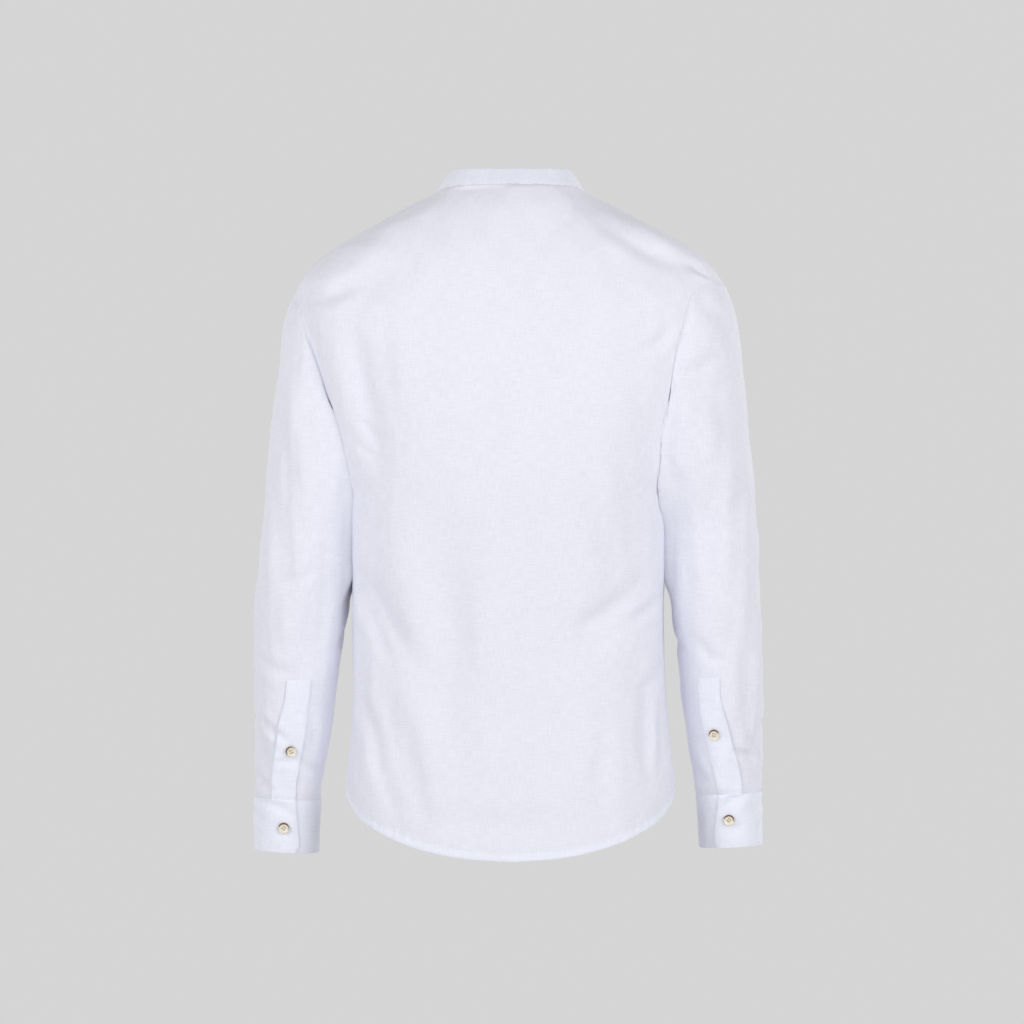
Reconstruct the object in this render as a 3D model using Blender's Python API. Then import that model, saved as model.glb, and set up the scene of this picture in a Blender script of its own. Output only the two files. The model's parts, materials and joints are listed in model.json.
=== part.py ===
"""Long-sleeved shirt with a band collar, filled out as worn and hollow all through.

The front of the shirt faces -Y, its left side is +X, and the origin lies level with the
sides of the neck, in the middle of the neck opening. Tables and sizes are in millimetres.
"""
import math
from collections import namedtuple

import bmesh
import bpy
from mathutils import Matrix, Vector

MM = 0.001

# Walls and joints between pieces.
CLOTH = 1.4
BAND = 2.0
STRIP = 1.2
SEAM_GAP = 0.3

# Horizontal sections of the trunk: half widths on the left and the right of the middle,
# and how far the cloth stands behind and before it.
Section = namedtuple("Section", "height left right back front")
TRUNK = [
    Section(6, 76, 76, 51, 5),
    Section(-3, 85, 85, 59, 13),
    Section(-10, 101, 100, 65, 22),
    Section(-21, 122, 123, 72, 32),
    Section(-44, 162, 166, 84, 47),
    Section(-66, 200, 202, 94, 58),
    Section(-88, 226, 227, 101, 69),
    Section(-111, 241, 242, 107, 80),
    Section(-130, 246, 246, 111, 89),
    Section(-155, 244, 243, 115, 99),
    Section(-191, 233, 232, 118, 109),
    Section(-234, 220, 218, 119, 115),
    Section(-269, 205, 203, 118, 117),
    Section(-317, 191, 187, 115, 115),
    Section(-346, 181, 177, 112, 113),
    Section(-400, 177, 173, 105, 109),
    Section(-458, 176, 171, 100, 106),
    Section(-514, 175, 172, 98, 104),
    Section(-570, 176, 174, 99, 105),
    Section(-615, 179, 178, 102, 107),
    Section(-660, 184, 183, 105, 109),
    Section(-743, 184, 183, 109, 111),
]
ROUNDNESS = 2.4

# The neck seam, from the middle of the back (0 degrees) to the middle of the front (180).
NECK_HALF_WIDTH = 85
NeckPoint = namedtuple("NeckPoint", "angle height")
NECK = [
    NeckPoint(0, 4.5), NeckPoint(30, 3.9), NeckPoint(60, 1.6), NeckPoint(90, -3),
    NeckPoint(105, -14), NeckPoint(120, -30), NeckPoint(135, -46), NeckPoint(150, -60),
    NeckPoint(165, -69), NeckPoint(180, -72),
]

# Armhole seams, from the shoulder tip to the underarm, as distances from the middle.
# The front edge of each armhole is cut deeper than the back. The first and last rows are
# on the shoulder and side seams, so their distance is the trunk's own half width.
SeamPoint = namedtuple("SeamPoint", "height across")
ARMHOLE_BACK = {
    "left": [
        SeamPoint(-118, None), SeamPoint(-132, 241), SeamPoint(-155, 230),
        SeamPoint(-191, 216), SeamPoint(-234, 202), SeamPoint(-269, 190),
        SeamPoint(-317, 182), SeamPoint(-338, 179), SeamPoint(-346, None),
    ],
    "right": [
        SeamPoint(-111, None), SeamPoint(-107, 222), SeamPoint(-119, 203),
        SeamPoint(-134, 196), SeamPoint(-169, 186), SeamPoint(-194, 180),
        SeamPoint(-236, 174), SeamPoint(-291, 170), SeamPoint(-332, 170),
        SeamPoint(-346, None),
    ],
}
ARMHOLE_FRONT = {
    "left": [
        SeamPoint(-118, None), SeamPoint(-133, 236), SeamPoint(-155, 220),
        SeamPoint(-191, 202), SeamPoint(-234, 189), SeamPoint(-269, 181),
        SeamPoint(-317, 176), SeamPoint(-338, 177), SeamPoint(-346, None),
    ],
    "right": [
        SeamPoint(-111, None), SeamPoint(-124, 234), SeamPoint(-150, 214),
        SeamPoint(-191, 197), SeamPoint(-234, 185), SeamPoint(-269, 176),
        SeamPoint(-317, 171), SeamPoint(-338, 173), SeamPoint(-346, None),
    ],
}

# The rounded hem: its height at each distance from the middle, out to the side seams.
HemPoint = namedtuple("HemPoint", "across height")
HEM = {
    "back": [
        HemPoint(0, -743), HemPoint(44, -740.5), HemPoint(75, -736), HemPoint(111, -727),
        HemPoint(136, -717.5), HemPoint(161, -704), HemPoint(174, -693), HemPoint(183, -677),
    ],
    "front": [
        HemPoint(0, -728), HemPoint(44, -726), HemPoint(75, -722.5), HemPoint(111, -715),
        HemPoint(136, -708), HemPoint(161, -698), HemPoint(174, -689), HemPoint(183, -677),
    ],
}

# How the panels are divided: columns from the middle to the side, rows from top to hem.
NECK_COLUMNS = 6
FRONT_EXTRA_COLUMNS = 2
SHOULDER_COLUMNS = 7
ARMHOLE_ROWS = 12
SIDE_ROWS = 13
UNDERARM_ROOM = 11
UNDERARM_SPREAD = 0.07
ROW_CROWDING = 2.4
ROW_HOLD = (0.15, 0.75)
FINE_STEPS = 160
PATH_STEPS = 90
KNOT_STEPS = 14
BISECTIONS = 40
NORMAL_STEP = 0.6

# The front lap.
BUTTON_STAND = 15
LAP_GAP = 0.5
LAP_EASE = (20, 60)

# Sleeves: sections below the armhole. "centre" is the distance from the middle of the
# shirt, "half" and "depth" the half sizes across and front to back, "forward" how far the
# arm has swung to the front.
SleeveSection = namedtuple("SleeveSection", "height centre half depth forward")
SLEEVE = {
    "left": [
        SleeveSection(-390, 229, 51, 60, 2), SleeveSection(-458, 234, 52, 58, 5),
        SleeveSection(-514, 239, 49, 54, 9), SleeveSection(-570, 243.5, 45.5, 50, 13),
        SleeveSection(-615, 246.5, 42.5, 47, 17), SleeveSection(-682, 250.5, 37.5, 42, 24),
        SleeveSection(-742, 252, 36.5, 40, 30),
    ],
    "right": [
        SleeveSection(-390, 225.5, 50.5, 60, 2), SleeveSection(-458, 229.5, 50.5, 58, 5),
        SleeveSection(-514, 235, 47.5, 54, 9), SleeveSection(-570, 238, 44, 50, 13),
        SleeveSection(-615, 240.5, 41.5, 47, 17), SleeveSection(-682, 244.5, 36.5, 42, 24),
        SleeveSection(-742, 247, 35.5, 40, 30),
    ],
}
SLEEVE_ROUNDNESS = 2.15
SLEEVE_TOP_RING = -390
SLEEVE_END = {"left": -680, "right": -674}
UPPER_SLEEVE_ROWS = 10
LOWER_SLEEVE_ROWS = 13
SLEEVE_COLUMNS = 24
SLEEVE_CUFF_TILT = 0.05

# How the sleeve leaves the armhole: outward and rearward shares of its first direction.
SLEEVE_HEAD_OUTWARD = 0.42
SLEEVE_SIDE_OUTWARD = 0.36
SLEEVE_INNER_OUTWARD = 0.12
SLEEVE_REARWARD = 0.22
SLEEVE_FOLDS_BACK = (5, 10)
SLEEVE_SEAM_GAP = 0.5
SLEEVE_DOWNWARD = 0.9
SLEEVE_LEAD_OUT = 12
OUTLINE_FADE = 0.1

# The outer outline of each upper sleeve, as distances from the middle.
OutlinePoint = namedtuple("OutlinePoint", "height across")
SLEEVE_OUTLINE = {
    "left": [
        OutlinePoint(-118, 244), OutlinePoint(-133, 249), OutlinePoint(-144, 251),
        OutlinePoint(-167, 255), OutlinePoint(-212, 261), OutlinePoint(-256, 267.5),
        OutlinePoint(-324, 273), OutlinePoint(-390, 280),
    ],
    "right": [
        OutlinePoint(-111, 242), OutlinePoint(-133, 250), OutlinePoint(-144, 252),
        OutlinePoint(-167, 255), OutlinePoint(-212, 261), OutlinePoint(-256, 265),
        OutlinePoint(-324, 271), OutlinePoint(-390, 275.5),
    ],
}

# The wrist opening: the direction of its edge round the sleeve, from straight out (0)
# over straight back (90) to the body side (180).
EdgePoint = namedtuple("EdgePoint", "height angle")
OPENING_EDGE = {
    "left": [
        EdgePoint(-458, 114), EdgePoint(-571, 112), EdgePoint(-615, 109),
        EdgePoint(-671, 103), EdgePoint(-705, 107), EdgePoint(-742, 113),
    ],
    "right": [
        EdgePoint(-458, 126), EdgePoint(-571, 126), EdgePoint(-615, 120),
        EdgePoint(-671, 108), EdgePoint(-705, 115), EdgePoint(-742, 122),
    ],
}
TWIST_STARTS = -420
TWIST_ENDS = -560
EDGE_COLUMN = 7
SLIT_COLUMN = 6
PLACKET_COLUMNS = (5, 7)
PLACKET_ROWS = 6
PLACKET_CLEARANCE = 1.6
SLIT_WIDTH = 0.6

# Cuffs: a band wound once round and a little more, with one corner cut off. Its turns,
# overlap and corner are in degrees. The lapping end stands out and the other end in.
CUFF_HEIGHT = 60
CUFF_FIRST_TURN = 14
CUFF_TURN = 13
CUFF_OVERLAP = 26
CUFF_CORNER = 8
CUFF_LAP_RISE = 2.9
CUFF_LEVEL_SHARE = 0.6
CUFF_SEAM_GAP = 0.6
CUFF_ROWS = (0, 0.27, 0.55, 0.85, 1)

# Collar band.
COLLAR_HEIGHT = 27.5
COLLAR_LAP_RISE = 1.2
COLLAR_LAP_EASE = (0.82, 0.92)
COLLAR_UNDER_DROP = 0.7
COLLAR_UNDER_EASE = (0.07, 0.16)
COLLAR_CENTRE_FORWARD = 4
COLLAR_SEAT = 0.45
COLLAR_LAP_SEAT = 0.5
CollarLean = namedtuple("CollarLean", "angle lean")
COLLAR_LEAN = [
    CollarLean(0, 40), CollarLean(60, 38), CollarLean(90, 35), CollarLean(135, 24),
    CollarLean(180, 18), CollarLean(200, 18),
]

# The largest folds, as soft troughs from one end to the other: positions across (left is
# positive) and heights, depth at the middle and half width. A negative depth is a ridge.
Fold = namedtuple("Fold", "across height to_across to_height depth width")
BACK_FOLDS = [
    Fold(175, -425, 88, -560, 9.0, 24),
    Fold(150, -470, 118, -700, 6.0, 20),
    Fold(-150, -445, -66, -510, 6.0, 22),
    Fold(-142, -250, -150, -420, 5.0, 18),
    Fold(150, -165, 138, -320, 6.0, 20),
    Fold(72, -320, 64, -620, 5.0, 26),
    Fold(-146, -545, -148, -665, 6.0, 16),
    Fold(-95, -75, -195, -98, 7.0, 15),
    Fold(205, -122, 110, -100, 5.0, 16),
    Fold(-20, -480, -40, -690, 3.5, 30),
]
FRONT_FOLDS = [
    Fold(165, -400, 80, -520, 8.0, 24),
    Fold(-162, -405, -84, -505, 7.5, 24),
    Fold(122, -330, 138, -530, 5.5, 22),
    Fold(-128, -340, -140, -560, 6.0, 20),
    Fold(64, -110, 165, -175, 6.0, 18),
    Fold(-62, -112, -160, -190, 5.0, 18),
    Fold(72, -560, 118, -690, 5.0, 20),
    Fold(-82, -540, -118, -690, 5.5, 22),
]

# Long soft folds of the sleeves: direction round the sleeve, heights, depth, half width.
SLEEVE_MEAN_RADIUS = 50
SLEEVE_FOLD_EASE_TOP = (0, 3)
SLEEVE_FOLD_EASE_END = (0, 2)
SleeveFold = namedtuple("SleeveFold", "angle to_angle height to_height depth width")
SLEEVE_FOLDS = {
    "left": [
        SleeveFold(62, 76, -300, -470, 4.2, 13), SleeveFold(126, 100, -420, -560, 4.0, 13),
        SleeveFold(250, 280, -280, -420, 5.0, 14), SleeveFold(300, 285, -430, -600, 4.2, 13),
        SleeveFold(20, 60, -600, -655, 3.4, 11),
    ],
    "right": [
        SleeveFold(100, 60, -200, -280, 4.6, 15), SleeveFold(75, 60, -420, -580, 4.0, 13),
        SleeveFold(290, 250, -260, -410, 5.0, 14), SleeveFold(250, 290, -440, -620, 4.2, 13),
        SleeveFold(30, 70, -610, -660, 3.4, 11),
    ],
}

# Buttons.
BUTTON_RADIUS = 6.2
BUTTON_THICKNESS = 2.6
BUTTON_SEAT = 0.35
BUTTON_HOLE_RADIUS = 0.8
BUTTON_HOLE_OFFSET = 1.35
BUTTON_SIDES = 14
BUTTON_HOLE_SIDES = 4
FRONT_BUTTON_HEIGHTS = (-104, -188, -272, -356, -440, -524, -608)
PLACKET_BUTTON_HEIGHT = {"left": -626, "right": -607}
CUFF_BUTTON_HEIGHT = {"left": -712, "right": -703}
CUFF_BUTTON_INSET = 21

SIDE_SIGN = {"left": 1, "right": -1}
FACE_SIGN = {"back": 1, "front": -1}

# Finishes.
Finish = namedtuple("Finish", "color roughness metallic")
LINEN = Finish((0.83, 0.83, 0.88, 1), 0.85, 0)
SHELL = Finish((0.82, 0.74, 0.60, 1), 0.35, 0)


def smooth_reader(rows, key, column):
    """Return a function that reads a table's column smoothly and without overshoot."""
    points = sorted((getattr(row, key), getattr(row, column)) for row in rows)
    rates = [(b[1] - a[1]) / (b[0] - a[0]) for a, b in zip(points, points[1:])]
    slopes = [rates[0]]
    for before, after in zip(rates, rates[1:]):
        flat = before * after <= 0
        slopes.append(0 if flat else 2 * before * after / (before + after))
    slopes.append(rates[-1])

    def read(at):
        at = min(max(at, points[0][0]), points[-1][0])
        index = 0
        while index < len(rates) - 1 and at > points[index + 1][0]:
            index += 1
        (x0, y0), (x1, y1) = points[index], points[index + 1]
        span = x1 - x0
        t = (at - x0) / span
        rise = slopes[index] * span * t * (1 - t) ** 2
        fall = slopes[index + 1] * span * t * t * (1 - t)
        return y0 + (y1 - y0) * t * t * (3 - 2 * t) + rise - fall

    return read


def ease(value, low, high):
    """Rise smoothly from 0 to 1 while the value goes from low to high."""
    t = min(max((value - low) / (high - low), 0), 1)
    return t * t * (3 - 2 * t)


trunk_half = {side: smooth_reader(TRUNK, "height", side) for side in SIDE_SIGN}
trunk_depth = {face: smooth_reader(TRUNK, "height", face) for face in FACE_SIGN}
neck_height = smooth_reader(NECK, "angle", "height")
hem_height = {face: smooth_reader(HEM[face], "across", "height") for face in HEM}
collar_lean = smooth_reader(COLLAR_LEAN, "angle", "lean")
opening_angle = {s: smooth_reader(OPENING_EDGE[s], "height", "angle") for s in SIDE_SIGN}
sleeve_size = {
    (side, column): smooth_reader(SLEEVE[side], "height", column)
    for side in SIDE_SIGN for column in ("centre", "half", "depth", "forward")
}
outline_across = {s: smooth_reader(SLEEVE_OUTLINE[s], "height", "across") for s in SIDE_SIGN}


def segment_trough(x, y, x0, y0, x1, y1, depth, width):
    """Depth at (x, y) of a soft trough along the segment, fading out at both ends."""
    along_x, along_y = x1 - x0, y1 - y0
    length = math.hypot(along_x, along_y)
    t = ((x - x0) * along_x + (y - y0) * along_y) / length ** 2
    nearest = min(max(t, 0), 1)
    away = math.hypot(x - x0 - along_x * nearest, y - y0 - along_y * nearest)
    fade = 0.35 + 0.65 * math.sin(math.pi * nearest)
    return depth * fade * math.exp(-(away / width) ** 2)


def side_of(x):
    """Name the side of the shirt that a distance from the middle lies on."""
    return "left" if x >= 0 else "right"


def trunk_round(face, angle, height):
    """Trunk point from its direction: 0 is straight out from the middle, 90 the side."""
    turn = math.radians(abs(angle))
    side = "left" if angle >= 0 else "right"
    x = SIDE_SIGN[side] * trunk_half[side](height) * math.sin(turn) ** (2 / ROUNDNESS)
    cosine = math.cos(turn)
    reach = math.copysign(abs(cosine) ** (2 / ROUNDNESS), cosine)
    facing = face if cosine >= 0 else {"back": "front", "front": "back"}[face]
    y = FACE_SIGN[face] * trunk_depth[facing](height) * reach
    return Vector((x, y, height))


def trunk_angle(x, height):
    """Direction of a trunk point from its distance across and its height."""
    share = min(abs(x) / trunk_half[side_of(x)](height), 1)
    return math.copysign(math.degrees(math.asin(share ** (ROUNDNESS / 2))), x)


def trunk_across(angle, height):
    """Distance across of a trunk point from its direction and height."""
    share = math.sin(math.radians(min(abs(angle), 90))) ** (2 / ROUNDNESS)
    return math.copysign(trunk_half[side_of(angle)](height) * share, angle)


def trunk_normal(face, angle, height):
    """Outward direction of the trunk's surface."""
    before = trunk_round(face, angle - NORMAL_STEP, height)
    across = trunk_round(face, angle + NORMAL_STEP, height) - before
    below = trunk_round(face, angle, height - NORMAL_STEP)
    rise = trunk_round(face, angle, height + NORMAL_STEP) - below
    normal = across.cross(rise).normalized()
    outward = trunk_round(face, angle, height).xy.to_3d()
    return normal if normal.dot(outward) > 0 else -normal


def trunk_point(face, angle, height, lap=0):
    """Trunk point from its direction and height, with the folds and the front lap."""
    across = trunk_across(angle, height)
    folds = BACK_FOLDS if face == "back" else FRONT_FOLDS
    sink = sum(segment_trough(across, height, *fold) for fold in folds)
    inside = 1 - math.sin(math.radians(abs(angle))) ** 6
    rise = lap * (1 - ease(across, *LAP_EASE)) - sink * inside
    return trunk_round(face, angle, height) + trunk_normal(face, angle, height) * rise


def ridge_height(side, across):
    """Height at which the shoulder ridge is this far from the middle."""
    low, high = -130, 6
    for _ in range(BISECTIONS):
        middle = (low + high) / 2
        if trunk_half[side](middle) > across:
            low = middle
        else:
            high = middle
    return (low + high) / 2


class Path:
    """A line on the trunk, kept as close (direction, height, share) and read by length."""

    def __init__(self, face, points):
        self.points = points
        self.lengths = [0]
        solid = [trunk_round(face, p.x, p.y) for p in points]
        for a, b in zip(solid, solid[1:]):
            self.lengths.append(self.lengths[-1] + (b - a).length)

    def at(self, share):
        """Point at a share of the whole length."""
        target = share * self.lengths[-1]
        index = 0
        while index < len(self.points) - 2 and self.lengths[index + 1] < target:
            index += 1
        span = self.lengths[index + 1] - self.lengths[index]
        return self.points[index].lerp(self.points[index + 1],
                                       (target - self.lengths[index]) / span)


def steps(count):
    """Even steps from 0 to 1."""
    return [i / count for i in range(count + 1)]


def neck_path(face, side):
    """The neck seam from the middle to the shoulder."""
    start = 0 if face == "back" else 180
    points = []
    for t in steps(PATH_STEPS):
        angle = start + (90 - start) * t
        across = NECK_HALF_WIDTH * math.sin(math.radians(angle))
        height = neck_height(angle)
        points.append(Vector((trunk_angle(SIDE_SIGN[side] * across, height), height, 0)))
    points[-1].x = SIDE_SIGN[side] * 90
    return Path(face, points)


def shoulder_path(face, side, tip_height):
    """The shoulder seam along the ridge, from the neck to the tip."""
    tip = trunk_half[side](tip_height)
    points = []
    for t in steps(PATH_STEPS):
        height = ridge_height(side, NECK_HALF_WIDTH + (tip - NECK_HALF_WIDTH) * t)
        points.append(Vector((SIDE_SIGN[side] * 90, height, 0)))
    return Path(face, points)


def curve_through(knots, count):
    """Smooth curve through knots, with this many points on each stretch."""
    spans = [max((b - a).length, 1) ** 0.5 for a, b in zip(knots, knots[1:])]
    slopes = []
    for i, knot in enumerate(knots):
        if i == 0:
            slopes.append((knots[1] - knot) / spans[0])
        elif i == len(knots) - 1:
            slopes.append((knot - knots[i - 1]) / spans[-1])
        else:
            before = (knot - knots[i - 1]) / spans[i - 1]
            after = (knots[i + 1] - knot) / spans[i]
            slopes.append((before * spans[i] + after * spans[i - 1]) / (spans[i] + spans[i - 1]))
    points = [knots[0].copy()]
    for i, span in enumerate(spans):
        for share in steps(count)[1:]:
            points.append(hermite(knots[i], slopes[i] * span, knots[i + 1],
                                  slopes[i + 1] * span, share))
    return points


def hermite(start, start_slope, end, end_slope, t):
    """Point on a cubic between two ends with given slopes."""
    a = 2 * t ** 3 - 3 * t ** 2 + 1
    b = t ** 3 - 2 * t ** 2 + t
    c = 3 * t ** 2 - 2 * t ** 3
    d = t ** 3 - t ** 2
    return start * a + start_slope * b + end * c + end_slope * d


def armhole_path(face, side):
    """The armhole seam from the shoulder tip to the underarm, on one face."""
    rows = (ARMHOLE_BACK if face == "back" else ARMHOLE_FRONT)[side]
    # Directions round the trunk run evenly near the sides, where distances across do not.
    knots = []
    for row in rows:
        angle = 90
        if row.across is not None:
            angle = abs(trunk_angle(SIDE_SIGN[side] * row.across, row.height))
        knots.append(Vector((angle, row.height, 0)))
    points = []
    for point in curve_through(knots, KNOT_STEPS):
        points.append(Vector((SIDE_SIGN[side] * min(point.x, 90), point.y, 0)))
    return Path(face, points)


def side_path(face, side, top):
    """The side seam from the underarm to the hem."""
    bottom = HEM[face][-1].height
    points = [Vector((SIDE_SIGN[side] * 90, top + (bottom - top) * t, 0))
              for t in steps(PATH_STEPS)]
    return Path(face, points)


def hem_path(face, side):
    """The hem from the middle to the side seam."""
    corner = HEM[face][-1]
    points = []
    for t in steps(PATH_STEPS):
        share = math.sin(math.pi / 2 * t) ** (2 / ROUNDNESS)
        height = hem_height[face](share * corner.across)
        points.append(Vector((SIDE_SIGN[side] * 90 * t, height, 0)))
    return Path(face, points)


def half_panel(face, side):
    """Rows of (direction, height) for half a panel, from the middle to the side.

    Each column runs between the top edge and the hem and leans with the side edge. Its
    rows are even by length near the shoulder and keep level with the side edge lower down.
    """
    armhole = armhole_path(face, side)
    neck = neck_path(face, side)
    shoulder = shoulder_path(face, side, armhole.points[0].y)
    seam = side_path(face, side, armhole.points[-1].y)
    hem = hem_path(face, side)
    split = ARMHOLE_ROWS / (ARMHOLE_ROWS + SIDE_ROWS)
    columns = NECK_COLUMNS + SHOULDER_COLUMNS
    top = [neck.at(i / NECK_COLUMNS) for i in range(NECK_COLUMNS)]
    top += [shoulder.at(i / SHOULDER_COLUMNS) for i in range(SHOULDER_COLUMNS + 1)]

    def spread(point):
        return Vector((trunk_across(point.x, point.y), point.y))

    def side_at(v):
        return armhole.at(v / split) if v <= split else seam.at((v - split) / (1 - split))

    lines = []
    for column in range(columns):
        u = column / columns
        start, end = spread(top[column]), spread(hem.at(u))

        def place(v):
            lean = spread(side_at(v)) - spread(side_at(0)).lerp(spread(side_at(1)), v)
            x, height = start.lerp(end, v) + lean * u
            height -= UNDERARM_ROOM * u ** 4 * math.exp(-((v - split) / UNDERARM_SPREAD) ** 2)
            return Vector((trunk_angle(x, height) if column else 0, height, v))

        shares = row_shares(face, place, split, u)
        line = [place(v) for v in shares]
        line[0] = top[column]
        lines.append(line)
    lines.append([armhole.at(i / ARMHOLE_ROWS) for i in range(ARMHOLE_ROWS)]
                 + [seam.at(i / SIDE_ROWS) for i in range(SIDE_ROWS + 1)])
    return [[line[row].xy for line in lines] for row in range(ARMHOLE_ROWS + SIDE_ROWS + 1)]


def row_shares(face, place, split, u):
    """Shares of a column at which its rows lie, above and below the underarm."""
    shares = []
    for low, high, count in ((0, split, ARMHOLE_ROWS), (split, 1, SIDE_ROWS)):
        path = Path(face, [place(low + (high - low) * t ** ROW_CROWDING) for t in steps(FINE_STEPS)])
        for i in range(count):
            even = path.at(i / count).z
            level = low + (high - low) * i / count
            hold = u ** 2 * ease(i / count, *ROW_HOLD) if low == 0 else u ** 2
            shares.append(even + (level - even) * hold)
    return shares + [1]


def panel_surface(face, flat, lap=0):
    """Points and outward directions of a grid of (direction, height)."""
    points = [[trunk_point(face, angle, z, lap) for angle, z in row] for row in flat]
    normals = [[trunk_normal(face, angle, z) for angle, z in row] for row in flat]
    return points, normals


def back_grid():
    """The back, from the right side to the left."""
    left, right = half_panel("back", "left"), half_panel("back", "right")
    flat = [list(reversed(r))[:-1] + l for l, r in zip(left, right)]
    points, normals = panel_surface("back", flat)
    return open_seams(points, normals)


def front_grid(side):
    """A front, from its free edge past the middle to the side seam."""
    sign = SIDE_SIGN[side]
    lap = CLOTH + LAP_GAP if side == "left" else 0
    flat = half_panel("front", side)
    for row in flat:
        height = row[0].y
        row.insert(0, Vector((trunk_angle(-sign * BUTTON_STAND, height), height)))
        row.insert(2, row[1].lerp(row[2], 0.5))
    points, normals = panel_surface("front", flat, lap)
    return open_seams(points, normals, free_first=True)


def open_seams(points, normals, free_first=False):
    """Draw the shoulder, armhole and side edges back by half the gap between pieces."""
    edge_columns = [-1] if free_first else [0, -1]
    moved = [list(row) for row in points]
    for column in edge_columns:
        inner = 1 if column == 0 else -2
        for row, line in enumerate(points):
            inward = (line[inner] - line[column]).normalized()
            moved[row][column] = line[column] + inward * SEAM_GAP / 2
    last = len(points[0]) - 1
    for column, edge in enumerate(points[0]):
        from_side = last - column if free_first else min(column, last - column)
        if from_side <= SHOULDER_COLUMNS:
            down = (points[1][column] - edge).normalized()
            moved[0][column] = moved[0][column] + down * SEAM_GAP / 2
    return moved, normals


def sleeve_ring_point(side, angle, height):
    """Point of the lower sleeve: 0 is straight out, 90 straight back, 180 the body side.

    The rings tilt towards the wrist, so that the cuff's outer edge sits a little higher.
    """
    centre, half, depth, forward = (
        sleeve_size[side, column](height) for column in ("centre", "half", "depth", "forward"))
    turn = math.radians(angle)
    power = 2 / SLEEVE_ROUNDNESS
    out = half * math.copysign(abs(math.cos(turn)) ** power, math.cos(turn))
    back = depth * math.copysign(abs(math.sin(turn)) ** power, math.sin(turn))
    tilt = SLEEVE_CUFF_TILT * (1 - ease(height, SLEEVE_END[side], SLEEVE_TOP_RING))
    return Vector((SIDE_SIGN[side] * (centre + out), back - forward, height + tilt * out))


def column_angle(side, column, height):
    """Direction of a sleeve column, turned so that one column follows the wrist opening."""
    plain = 360 * column / SLEEVE_COLUMNS
    edge = 360 * EDGE_COLUMN / SLEEVE_COLUMNS
    turned = opening_angle[side](height) - edge
    return plain + turned * (1 - ease(height, TWIST_ENDS, TWIST_STARTS))


def sleeve_sink(side, angle, height):
    """Depth of the sleeve's soft folds at a place."""
    around = math.radians(SLEEVE_MEAN_RADIUS)
    total = 0
    for fold in SLEEVE_FOLDS[side]:
        away = (angle - fold.angle + 180) % 360 - 180
        total += segment_trough(away * around, height, 0, fold.height,
                                (fold.to_angle - fold.angle) * around, fold.to_height,
                                fold.depth, fold.width)
    return total


def edge_clearance(points, normals, column, inner):
    """Places just outside a panel's armhole edge, where the sleeve's edge lies.

    High on the armhole the sleeve carries the panel's surface on. Low down it folds back
    under the arm, so there its edge lies on the outside of the panel's edge.
    """
    places = []
    for row in range(ARMHOLE_ROWS + 1):
        edge = points[row][column]
        along = (points[row + 1][column] - points[max(row - 1, 0)][column]).normalized()
        away = edge - points[row][inner]
        away = (away - along * away.dot(along)).normalized()
        folded = ease(row, *SLEEVE_FOLDS_BACK)
        lift = (away * (1 - folded) + normals[row][column] * folded).normalized()
        places.append(edge + lift * SLEEVE_SEAM_GAP)
    return places


def sleeve_grid(side, back_edge, front_edge):
    """Sleeve columns from the armhole loop down to the wrist, as rows of points."""
    sign = SIDE_SIGN[side]
    tip = back_edge[0].lerp(front_edge[0], 0.5)
    underarm = back_edge[-1].lerp(front_edge[-1], 0.5)
    loop = [tip] + back_edge[1:-1] + [underarm] + list(reversed(front_edge))[1:-1]
    columns = []
    for column, start in enumerate(loop):
        angle = 360 * column / SLEEVE_COLUMNS
        turn = math.radians(angle)
        outward = SLEEVE_SIDE_OUTWARD
        outward += (SLEEVE_HEAD_OUTWARD - SLEEVE_SIDE_OUTWARD) * max(math.cos(turn), 0)
        outward += (SLEEVE_INNER_OUTWARD - SLEEVE_SIDE_OUTWARD) * max(-math.cos(turn), 0)
        rearward = SLEEVE_REARWARD * math.sin(turn)
        direction = Vector((sign * outward, rearward, -SLEEVE_DOWNWARD)).normalized()
        end = sleeve_ring_point(side, angle, SLEEVE_TOP_RING)
        below = sleeve_ring_point(side, angle, SLEEVE_TOP_RING - SLEEVE_LEAD_OUT)
        length = (end - start).length
        line = [hermite(start, direction * length, end, (below - end).normalized() * length, t)
                for t in steps(PATH_STEPS)]
        columns.append(line)
    columns = fit_outline(side, columns)
    rows = []
    for row in range(UPPER_SLEEVE_ROWS):
        rows.append([even_point(line, row / UPPER_SLEEVE_ROWS) for line in columns])
    for row in range(LOWER_SLEEVE_ROWS + 1):
        height = SLEEVE_TOP_RING + (SLEEVE_END[side] - SLEEVE_TOP_RING) * row / LOWER_SLEEVE_ROWS
        rows.append([sleeve_ring_point(side, column_angle(side, k, height), height)
                     for k in range(SLEEVE_COLUMNS)])
    return sink_folds(side, rows)


def fit_outline(side, lines):
    """Move the columns of the upper sleeve so that the outermost follows the outline."""
    head = lines[0]
    gaps = [outline_across[side](point.z) - abs(point.x) for point in head]
    heights = [point.z for point in head]

    def gap_at(height):
        index = 0
        while index < len(heights) - 2 and heights[index + 1] > height:
            index += 1
        t = (heights[index] - height) / (heights[index] - heights[index + 1])
        return gaps[index] + (gaps[index + 1] - gaps[index]) * min(max(t, 0), 1)

    fitted = []
    for column, line in enumerate(lines):
        weight = max(math.cos(math.tau * column / SLEEVE_COLUMNS), 0)
        last = len(line) - 1
        fresh = []
        for i, point in enumerate(line):
            shift = gap_at(point.z) * weight * min(i / last / OUTLINE_FADE, 1)
            fresh.append(point + Vector((SIDE_SIGN[side] * shift, 0, 0)))
        fitted.append(fresh)
    return fitted


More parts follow.
